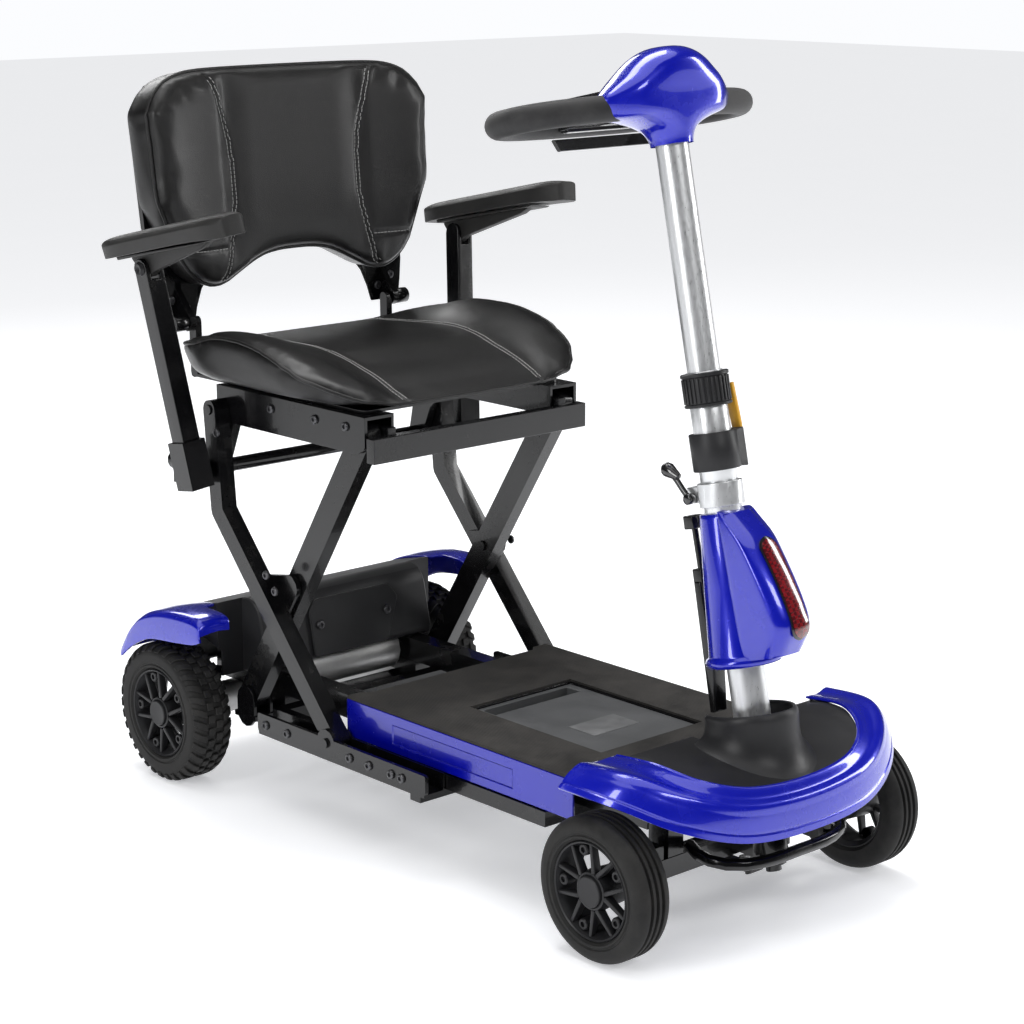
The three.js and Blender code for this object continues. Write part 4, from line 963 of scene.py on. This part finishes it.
def stitched(skin, runs, name, rows=(-1, 1)):
    """Rows of thread along each run, one on each side of the seam unless told otherwise."""
    deselect()
    bpy.ops.mesh.primitive_cylinder_add(vertices=6, radius=0.5, depth=1, rotation=(0, pi / 2, 0))
    thread = bpy.context.object
    settle(thread)
    thread.data.transform(Matrix.Diagonal((*(size * MM for size in STITCH), 1)))
    places = []
    for run in runs:
        even = evened(run, STITCH_PITCH * MM)
        for here, there in zip(even, even[1:]):
            _, normal, _, _ = skin.find_nearest(here)
            along = (there - here).normalized()
            side = normal.cross(along).normalized()
            up = along.cross(side)
            for row in rows:
                at, out, _, _ = skin.find_nearest(here + side * STITCH_APART * row * MM)
                turn = Matrix((along, side, up)).transposed().to_4x4()
                places.append(Matrix.Translation(at + out * STITCH_LIFT * MM) @ turn)
    return copies(thread, places, name)


def seat_seam(side, share):
    """One seam from the back edge to the front edge, bowed outwards at the back."""
    b = 0.97 - 1.94 * share
    a = side * (SEAM_X + 34 * sin(pi * share) ** 2 * (1 - share) + 22 * share ** 2) / SEAT_HALF
    x, y = seat_plan(a, b)
    return x, y, seat_top(a, b)


def on_seat_edge(x, y, z):
    a, b = abs(x) / SEAT_HALF, abs(y - SEAT_MIDDLE) / SEAT_DEPTH
    return z < 526 or (max(a, b) > 0.985 and z < 560)


def square_run(count):
    """Points that go once round the edge of a square from -1 to 1."""
    for i in range(count):
        angle = 2 * pi * i / count
        a, b = cos(angle), sin(angle)
        most = max(abs(a), abs(b))
        yield a / most, b / most


def edge_run(count, reach):
    """The outline's edge, as points that go once round."""
    inset = [(a * reach, b * reach) for a, b in square_run(count)]
    return [(*seat_plan(a, b), seat_top(a, b)) for a, b in inset]


def sewn(piece, runs, depth, width):
    """Presses the seams into the cover. Gives the new surface and the seams laid on it."""
    first = skin_of(piece)
    runs = [laid_on(first, run) for run in runs]
    press_seam(piece, runs, depth, width)
    pressed = skin_of(piece)
    return pressed, [laid_on(pressed, [point / MM for point in run]) for run in runs]


WELT_RADIUS = 1.1
PIPING_RADIUS = 2.3
WELT_SINK = Vector((0, 0, 0.3 * MM))
cushion = puffed(cube_form("seat_cushion_skin", 28, seat_point), on_seat_edge, 3.0)
cushion_skin, seat_seams = sewn(
    cushion, [[seat_seam(side, i / 60) for i in range(61)] for side in SIDES], 1.4, 2.6)
dressed(cushion, "seat_cushion_skin", "seat", leather, ["seat_cushion"], 180)

piping = cord_of("seat_piping", laid_on(cushion_skin, edge_run(220, 0.985), 0.8), PIPING_RADIUS,
                 closed=True)
dressed(piping, "seat_piping", "seat", leather, angle=80)
seat_welts = joined([cord_of("welt", [p - WELT_SINK for p in run], WELT_RADIUS) for run in seat_seams],
                    "seat_welts")
dressed(seat_welts, "seat_welts", "seat", leather, angle=80)

thread_finish = Finish("grey_thread", {"Roughness": 0.8, "Sheen Weight": 0.3})
twist = thread_finish.noise(2500.0, 2.0)
thread_finish.colour(twist, (0.22, 0.22, 0.22), (0.42, 0.42, 0.41))
thread_finish.relief(twist, 0.1 * MM)
seat_stitches = stitched(cushion_skin, seat_seams, "seat_stitches")
dressed(seat_stitches, "seat_stitches", "seat", thread_finish)

# ---- Backrest cushion ----------------------------------------------------------------------
# A curved foam panel in the same leather, arched over the gap below it. It has two upright
# double-stitched seams, a sewn band near its foot, and piping round the edge.
BACK_PIVOT = Vector((0, 410, 584))
BACK_LEAN = radians(5)
BACK_HALF = 221.0
BACK_FOOT = [(0, 665), (22, 664), (46, 657), (60, 642), (72, 628), (84, 632), (94, 662), (100, 735)]
BACK_MIDDLE = 770.0
BACK_FACE = 385.0
BACK_REAR = 436.0
back_turn = Matrix.Rotation(-BACK_LEAN, 3, "X")


def leaned(x, y, z):
    return back_turn @ (Vector((x, y, z)) - BACK_PIVOT) + BACK_PIVOT


def back_outline(a, b):
    """x and height of a point of the panel, b from -1 at the foot to 1 at the top."""
    side = abs(a)
    foot = spline(BACK_FOOT, side).y
    top = 894 - 3 * side ** 2 - 46 * side ** 9
    part = (b + 1) / 2
    return BACK_HALF * a * (1 - 0.03 * (1 - part)), foot + (top - foot) * part


def back_depth(a, c):
    """The wings of the panel wrap forwards; c runs from -1, the face, to 1, the rear."""
    wrap = 17 * abs(a) ** 2.6
    return (BACK_FACE - wrap) * (1 - c) / 2 + (BACK_REAR - 0.1 * wrap) * (1 + c) / 2


def back_point(a, c, b):
    x, z = back_outline(a, b)
    pinch = 1 - 0.035 * abs(c) ** 4
    return leaned(x * pinch, back_depth(a, c), BACK_MIDDLE + (z - BACK_MIDDLE) * pinch)


def on_back_edge(x, y, z):
    local = back_turn.transposed() @ (Vector((x, y, z)) - BACK_PIVOT) + BACK_PIVOT
    return local.y > BACK_REAR - 10 or abs(abs(x) - 104) < 2


def back_seam(side, share):
    b = -0.99 + 1.97 * share
    a = side * (100 + 26 * (2 * abs(share - 0.48)) ** 2.2) / BACK_HALF
    x, z = back_outline(a, b)
    return leaned(x, BACK_FACE - 10, z)


def foot_seam(side, share):
    a = side * (118 + 92 * share) / BACK_HALF
    return leaned(BACK_HALF * a, BACK_FACE - 12, 672 - 2 * share)


def back_edge(count, c):
    run = []
    for a, b in square_run(count):
        x, z = back_outline(a, b)
        run.append(leaned(x, back_depth(a, c), z))
    return run


panel_form = puffed(cube_form("backrest_skin", 28, back_point), on_back_edge, 4.0)
back_skin, back_runs = sewn(
    panel_form, [[back_seam(side, i / 50) for i in range(51)] for side in SIDES]
    + [[foot_seam(side, i / 24) for i in range(25)] for side in SIDES], 2.2, 3.0)
back_seams, band_seams = back_runs[:2], back_runs[2:]
dressed(panel_form, "backrest_skin", "backrest", leather, ["backrest_cushion"], 180)
back_piping = cord_of("back_piping", laid_on(back_skin, back_edge(240, -0.55), 0.6), PIPING_RADIUS,
                      closed=True)
dressed(back_piping, "back_piping", "backrest", leather, angle=80)
back_welts = joined([cord_of("welt", run, WELT_RADIUS) for run in back_seams], "back_welts")
dressed(back_welts, "back_welts", "backrest", leather, angle=80)
for name, runs, rows in (("back_stitches", back_seams, (-1, 1)), ("back_band_stitches", band_seams, (0,))):
    dressed(stitched(back_skin, runs, name, rows), name, "backrest", thread_finish)

# ---- Backrest brackets ---------------------------------------------------------------------
# A pressed steel bracket carries each lower corner of the backrest. It is wide under the cushion,
# narrows to the hinge on the seat, and has a raised rim, two bolts and a hinge barrel.
BRACKET_SIDE = [(104, 668), (197, 668), (197, 632), (193, 604), (188, 580), (142, 580), (137, 600),
                (128, 622), (112, 642)]
BRACKET_Y = 427.0
BRACKET_BOLTS = [(176, 612), (154, 600)]


def flat_face(points):
    """One flat face through the points, in millimetres."""
    deselect()
    bpy.ops.mesh.primitive_circle_add(vertices=len(points), fill_type="NGON")
    made = bpy.context.object
    for vertex, point in zip(made.data.vertices, points):
        vertex.co = Vector(point) * MM
    return made


def back_bracket(side):
    plate = flat_face([leaned(side * x, BRACKET_Y, z) for x, z in BRACKET_SIDE])
    begin_edit()
    bpy.ops.mesh.inset(thickness=4.5 * MM)
    bpy.ops.transform.translate(value=(0, 2.4 * MM, 0))
    end_edit()
    modified(plate, "SOLIDIFY", thickness=3.0 * MM, offset=0.0)
    rounded_off(plate, 1.4, 3, 25)
    barrel = turned("barrel", [(168, 0.02), (168, 9), (169, 10), (186, 10), (187, 9), (187, 0.02)], 28)
    barrel.data.transform(Matrix.Translation(BACK_PIVOT * MM) @ Matrix.Scale(side, 4, (1, 0, 0)))
    if side < 0:
        barrel.data.flip_normals()
    return joined([plate, barrel], "bracket")


for side, name in NAMED_SIDES:
    dressed(back_bracket(side), f"back_bracket_{name}", "backrest", powder, angle=45)
facing = Matrix.Rotation(-pi / 2, 4, "Z")
bolts([shift(*leaned(side * x, BRACKET_Y, z)) @ facing for side in SIDES for x, z in BRACKET_BOLTS],
      "bracket_bolts", "backrest")

# ---- Armrests ------------------------------------------------------------------------------
# Moulded pads with a round top on a pressed triangular bracket, hinged in the fork of each post.
# A black cap covers the hinge pin, and a knob clamps the post in its socket.
POST_PLACE = Vector((218, 330, 408))
POST_LEAN = radians(8.6)
POST_SPLAY = radians(6.5)
POST_TOP = 262.0
PAD_TILT = radians(12)
PAD_LENGTH = (-208, 62)
post_frame = (Matrix.Translation(POST_PLACE * MM) @ Matrix.Rotation(POST_SPLAY, 4, "Y")
              @ Matrix.Rotation(-POST_LEAN, 4, "X"))

pad_plastic = Finish("textured_pad", {"Specular IOR Level": 0.28})
pad_plastic.varied(pad_plastic.noise(25.0, 4.0), (0.012, 0.012, 0.012), (0.03, 0.029, 0.028), 0.42, 0.55)
pad_plastic.relief(pad_plastic.cells(900.0), 0.2 * MM, 0.55)


def pad_point(a, b, c):
    """A long pad, rounded at both ends, crowned on top and turned under at the front."""
    rounded = 1 - 0.26 * b ** 12
    x = 25.5 * a * rounded * (1 - 0.06 * (1 - c) / 2)
    y0, y1 = PAD_LENGTH
    y = (y0 + y1) / 2 + (y1 - y0) / 2 * b * (1 - 0.07 * a ** 6)
    crown = 1 - 0.3 * abs(a) ** 5 - 0.12 * abs(b) ** 12
    top = 28.5 * crown
    low = 4.0 - 4.0 * max(0.0, -b) ** 3
    return x, y, low + (top - low) * (c + 1) / 2


def bracket_plate(points, x0, x1):
    """A flat bracket with the side outline given as (y, z) points."""
    made = flat_face([(x0, y, z) for y, z in points])
    begin_edit()
    bpy.ops.mesh.extrude_region_move(TRANSFORM_OT_translate={"value": ((x1 - x0) * MM, 0, 0)})
    end_edit(recalculate=True)
    return rounded_off(made, 1.6, 3, 25)


def armrest():
    pad = modified(cube_form("pad", 14, pad_point), "SUBSURF", levels=1, render_levels=1)
    pad.data.transform(Matrix.Translation((6 * MM, 0, (POST_TOP + 16) * MM))
                       @ Matrix.Rotation(POST_LEAN - PAD_TILT, 4, "X"))
    z = POST_TOP
    web = bracket_plate([(-150, z + 27), (-128, z + 17), (-16, z - 6), (-8, z - 12), (9, z - 8),
                         (24, z + 12), (24, z + 19)], -6, 6)
    flange = bracket_plate([(-156, z + 26), (-150, z + 24), (30, z + 14), (32, z + 18)], -12, 22)
    cap = turned("cap", [(12.6, 0.02), (16, 4), (16, 7), (12.6, 9)], 20)
    cap.data.transform(Matrix.Translation((0, 0, z * MM)))
    return joined([pad, web, flange], "armrest"), cap


pad_model, cap_model = armrest()
for side, name in NAMED_SIDES:
    for model, piece, body, finish, nodes in (
            (pad_model, "pad", "armrest", pad_plastic, [f"armrest_pad_{name}"]),
            (cap_model, "cap", "armrest_post", satin, ())):
        copy = copied(model, post_frame)
        if side < 0:
            mirrored(copy)
        dressed(copy, f"armrest_{name}_{piece}", f"{body}_{name[0]}", finish, nodes, 45)
bpy.data.objects.remove(pad_model)
bpy.data.objects.remove(cap_model)

# ---- Tiller --------------------------------------------------------------------------------
# Two brushed aluminium tubes, one inside the other, lean back from the hinge. A lever clamps the
# height, a ribbed collar guides the upper tube, and a ball lever frees the fold lock.
TILLER_LEAN = radians(12.4)
tiller_frame = shift(0, -405.2, 205) @ Matrix.Rotation(-TILLER_LEAN, 4, "X")

brushed = Finish("brushed_aluminium", {"Metallic": 0.92})
drawn = brushed.noise(1.0, 5.0, 0.6, brushed.place((900.0, 900.0, 9.0), (TILLER_LEAN, 0, 0)))
brushed.colour(brushed.noise(12.0, 3.0), (0.66, 0.67, 0.68), (0.78, 0.79, 0.8))
brushed.rough(brushed.spread(drawn, 0.3, 0.7, 0.26, 0.44))
brushed.relief(drawn, 0.05 * MM, 0.5)
for node in ("lock_bracket", "actuator_rod"):
    soften(node, brushed)


def on_tiller(piece):
    piece.data.transform(tiller_frame)
    return piece


def upright(name, profile, steps=64):
    """A ring turned about the tiller's own axis from (height, radius) points."""
    made = turned(name, profile, steps)
    made.data.transform(Matrix.Rotation(-pi / 2, 4, "Y"))
    return on_tiller(made)


lower = upright("lower", [(20, 0.02), (20, 20.5), (238, 20.5), (238.6, 20.2), (239.2, 20.5), (283, 20.5),
                          (283.6, 20.2), (284.2, 20.5), (403, 20.5), (404, 19.8), (404, 18.6), (396, 18.6)])
tongue_side = [(1, 3), (6, -8), (13, -10), (22, -6), (25, 3), (19, 26), (-4, 30), (-6, 22)]
tongue = on_tiller(bracket_plate(tongue_side, -16, 8))
dressed(joined([lower, tongue], "tiller_lower_skin"), "tiller_lower_skin", "tiller", brushed,
        ["tiller_lower_tube"], 40)
dressed(upright("tiller_upper_skin", [(250, 0.02), (250, 18), (672, 18), (672, 0.02)]),
        "tiller_upper_skin", "tiller_top", brushed, ["tiller_upper_tube"], 40)

collar_ring = [upright("ring", [(366, 20.9), (366, 24.5), (367, 26), (369, 26), (370, 24.4), (398, 24.4),
                                (399, 26.4), (402, 26.4), (403, 25), (403, 18.5), (401, 18.4), (401, 20.9),
                                (366, 20.9)])]
RIBS = 30
rib = cube_form("rib", 1, lambda a, b, c: (24.6 + 1.3 * a, 1.5 * b, 384 + 13.5 * c))
modified(rib, "BEVEL", width=0.6 * MM, segments=2)
rib_turns = [tiller_frame @ Matrix.Rotation(2 * pi * i / RIBS, 4, "Z") for i in range(RIBS)]
collar_ring.append(copies(rib, rib_turns, "ribs"))
dressed(joined(collar_ring, "height_collar_skin"), "height_collar_skin", "tiller", satin,
        ["height_collar"], 40)

sleeve = upright("sleeve", [(297, 20.9), (297, 25.4), (298, 26.2), (337, 26.2), (338, 25.4), (338, 20.9),
                            (297, 20.9)])
ear = on_tiller(cube_form("ear", 6, lambda a, b, c: (
    20 + 10.3 * a, -4 + 16 * b * (1 - 0.1 * a), 317.5 + 20.3 * c * (1 + 0.05 * a))))
rounded_off(ear, 1.6, 3, 40)
dressed(joined([sleeve, ear], "clamp_sleeve_skin"), "clamp_sleeve_skin", "tiller", satin,
        ["clamp_sleeve"], 40)

amber = Finish("yellow_lever", {"Specular IOR Level": 0.5})
amber.varied(amber.noise(60.0, 4.0), (0.62, 0.3, 0.015), (0.78, 0.42, 0.03), 0.35, 0.5)
amber.relief(amber.cells(1200.0), 0.06 * MM, 0.4)
LEVER_SIDE = [(-11, 305), (-4, 300), (3, 306), (1, 338), (6, 384), (-8, 388), (-12, 342)]
lever = on_tiller(bracket_plate(LEVER_SIDE, 31.2, 36.2))
dressed(lever, "clamp_lever_skin", "clamp", amber, ["clamp_lever"], 50)

gloss = Finish("gloss_black_plastic", {"Coat Weight": 0.7, "Coat Roughness": 0.05})
gloss.varied(gloss.noise(30.0, 3.0), (0.004, 0.004, 0.005), (0.012, 0.012, 0.013), 0.14, 0.24)
gloss.relief(gloss.noise(200.0, 1.0), 0.04 * MM, 0.3)
for node in ("console", "throttle_lever"):
    soften(node, gloss, 2.5 * MM)

stalk = cord_of("stalk", [tiller_frame @ (Vector(p) * MM) for p in (
    (-13, 36, 268), (-13, 44, 279), (-13, 50, 288), (-13, 57, 297))], 3.4)
ball = turned("ball", [(-14, 0.02), (-12, 4.2), (-4, 6.2), (4, 8.4), (9, 7.4), (12.5, 4), (13.5, 0.02)], 32)
ball.data.transform(tiller_frame @ shift(-13, 58, 299) @ Matrix.Rotation(radians(-58), 4, "X")
                    @ Matrix.Rotation(-pi / 2, 4, "Y"))
pivot = turned("pivot", [(-5, 0.02), (-5, 5), (-4, 6), (4, 6), (5, 5), (5, 0.02)], 24)
pivot.data.transform(tiller_frame @ shift(-13, 36, 268))
dressed(joined([stalk, ball, pivot], "lock_lever_skin"), "lock_lever_skin", "lock", gloss,
        ["lock_lever"], 50)

# The fold strut behind the tube: a flat channel below, a thin rod above and a nut block at the end.
channel = on_tiller(bracket_plate([(39, 88), (46, 30), (54, 30), (51, 176), (41, 176)], -10, 10))
cuff = on_tiller(bracket_plate([(39, 150), (53, 150), (53, 190), (39, 190)], -8, 8))
rod = cord_of("rod", [tiller_frame @ (Vector(p) * MM) for p in ((0, 46, 180), (0, 47, 246))], 3.6)
nut = on_tiller(bracket_plate([(40, 234), (55, 234), (55, 249), (40, 249)], -9, 9))
dressed(joined([channel, cuff, rod, nut], "tiller_strut_skin"), "tiller_strut_skin", "tiller", powder,
        ["tiller_strut"], 45)

# ---- Tiller cover and lamp -----------------------------------------------------------------
# A blue lacquered cone with a rolled foot hides the joint. A lamp pod bulges from its front and
# holds a tall curved lens of dark red plastic over a grid of reflector cells.
cone = upright("cone", [(84, 20.9), (84, 38.5), (85, 41), (89, 42.4), (93, 41), (95, 38.4), (97, 37.8),
                        (170, 33), (246, 27), (250, 26), (251, 24), (251, 20.9), (84, 20.9)], 72)
POD_FRONT = [(92, -70), (108, -88), (140, -84), (180, -75), (216, -64), (238, -50), (252, -26)]
POD_HALF = 29.0
POD_BACK = -14.0
POD_FOOT = 92.0
POD_TALL = 160.0


def pod_point(a, b, c):
    """b runs from the cone to the lens face, c from the foot to the top."""
    s = POD_FOOT + POD_TALL * (c + 1) / 2
    front = height_at(POD_FRONT, (c + 1) / 2)
    half = POD_HALF * (1 - 0.10 * abs(c) ** 6) * (1 - 0.22 * abs(b) ** 8)
    v = POD_BACK + (front - POD_BACK) * (1 - b) / 2
    v += 5.0 * abs(a) ** 4 * (1 - b) / 2
    return half * a, v, s + 2.0 * b * c


pod = cube_form("pod", 12, pod_point)
rounded_off(pod, 7, 5, 50)
modified(pod, "SUBSURF", levels=1, render_levels=1)
LENS_HALF = 11.0
LENS_SPAN = (113, 218)


def lens_point(half, lift, grow=0.0):
    """A pill-shaped strip that follows the pod's front."""
    def place(u, v):
        low, high = LENS_SPAN[0] - grow, LENS_SPAN[1] + grow
        s = low + (high - low) * v
        end = min(1.0, (0.5 - abs(v - 0.5)) * (high - low) / (half * 0.9))
        wide = half * sqrt(max(0.02, 1 - (1 - end) ** 2))
        x = (2 * u - 1) * wide
        return x, height_at(POD_FRONT, (s - POD_FOOT) / POD_TALL) - lift + 0.012 * x * x, s
    return place


dressed(joined([cone, on_tiller(pod)], "tiller_cover_skin"), "tiller_cover_skin", "tiller", lacquer,
        ["tiller_cover"], 60)
lens_finish = Finish("red_lens", {"Specular IOR Level": 0.7, "Coat Weight": 1.0, "Coat Roughness": 0.02})
cells = lens_finish.node("ShaderNodeTexChecker", values={
    "Vector": lens_finish.place(), "Scale": 260.0}, output=1)
glow = lens_finish.noise(45.0, 3.0)
lens_finish.colour(cells * 0.4 + glow * 0.4, (0.03, 0.0, 0.003), (0.3, 0.006, 0.012))
lens_finish.rough(lens_finish.spread(glow, 0.3, 0.7, 0.12, 0.2))
lens_finish.relief(cells, 0.3 * MM, 0.5)
lens = on_tiller(sheet_of("lens", 12, 40, lens_point(LENS_HALF, 1.4), 2.4, inside=False))
dressed(lens, "tiller_lens_skin", "tiller", lens_finish, ["tiller_lens"], 60)
rim_place = lens_point(LENS_HALF + 2.2, 0.7, 2.6)
surround = on_tiller(sheet_of("surround", 12, 40, rim_place, 2.0, inside=False))
dressed(surround, "lens_surround", "tiller", gloss, angle=60)

# ---- Head and handlebar --------------------------------------------------------------------
# A blue lacquered head like a bull's skull grows out of the tube and takes both ends of the loop.
# The loop is a steel tube under soft dark grey foam.
HEAD_SECTIONS = [
    (648, 23.5, 23.5, 2.0, 0), (656, 25, 25, 2.0, 0), (666, 33, 29, 2.1, 1), (676, 58, 33, 2.4, 3),
    (684, 84, 36, 3.0, 5), (694, 93, 38, 3.2, 6), (704, 93, 39, 3.0, 5), (713, 82, 40, 2.7, 3),
    (724, 66, 40, 2.4, 0), (735, 52, 37, 2.2, -3), (744, 38, 29, 2.1, -5), (750, 22, 17, 2.0, -6),
    (752, 0.5, 0.4, 2.0, -6)]


def head_point(u, v):
    """Rounded sections up the tiller's axis: neck, shoulders with the two horns, then the dome."""
    s, half, deep, power, rearward = spline(HEAD_SECTIONS, v)
    angle = 2 * pi * u
    c, n = cos(angle), sin(angle)
    x = half * copysign(abs(c) ** (2 / power), c)
    y = deep * copysign(abs(n) ** (2 / power), n)
    tip = smooth((abs(x) - 55) / 40)
    droop = -0.05 * max(0.0, abs(x) - 40)
    return x, rearward + y * (1 - 0.38 * tip), s + droop


head = sheet_of("head", 72, 44, head_point)
begin_edit()
bpy.ops.mesh.remove_doubles(threshold=0.05 * MM)
end_edit(recalculate=True)
dressed(on_tiller(head), "tiller_head_skin", "tiller_top", lacquer, ["tiller_head"], 60)

BAR_HALF = 165.0
BAR_DEPTH = 66.0
BAR_PLACE = (68.0, 692.0)
BAR_RADIUS = 14.5


def bar_point(angle):
    wide, deep = (copysign(abs(value) ** 0.8, value) for value in (cos(angle), sin(angle)))
    place = Vector((BAR_HALF * wide, BAR_PLACE[0] + BAR_DEPTH * deep, BAR_PLACE[1]))
    return tiller_frame @ (place * MM)


foam = Finish("foam_grip", {"Specular IOR Level": 0.25, "Sheen Weight": 0.1})
foam_cells = foam.cells(1700.0)
foam_scuff = foam.noise(16.0, 5.0, 0.65)
foam.colour(foam.spread(foam_scuff, 0.35, 0.7), (0.018, 0.018, 0.019), (0.045, 0.044, 0.044))
foam.rough(foam.spread(foam_scuff, 0.3, 0.7, 0.5, 0.68))
foam.relief(foam_cells + foam.noise(240.0, 4.0), 0.15 * MM, 0.5)
BAR_ENDS = (-72, 252)
BAR_STEPS = 96
bar_turns = [BAR_ENDS[0] + (BAR_ENDS[1] - BAR_ENDS[0]) * i / BAR_STEPS for i in range(BAR_STEPS + 1)]
loop = cord_of("handlebar_skin", [bar_point(radians(turn)) for turn in bar_turns], BAR_RADIUS, sides=8)
dressed(loop, "handlebar_skin", "tiller_top", foam, ["handlebar"], 60)
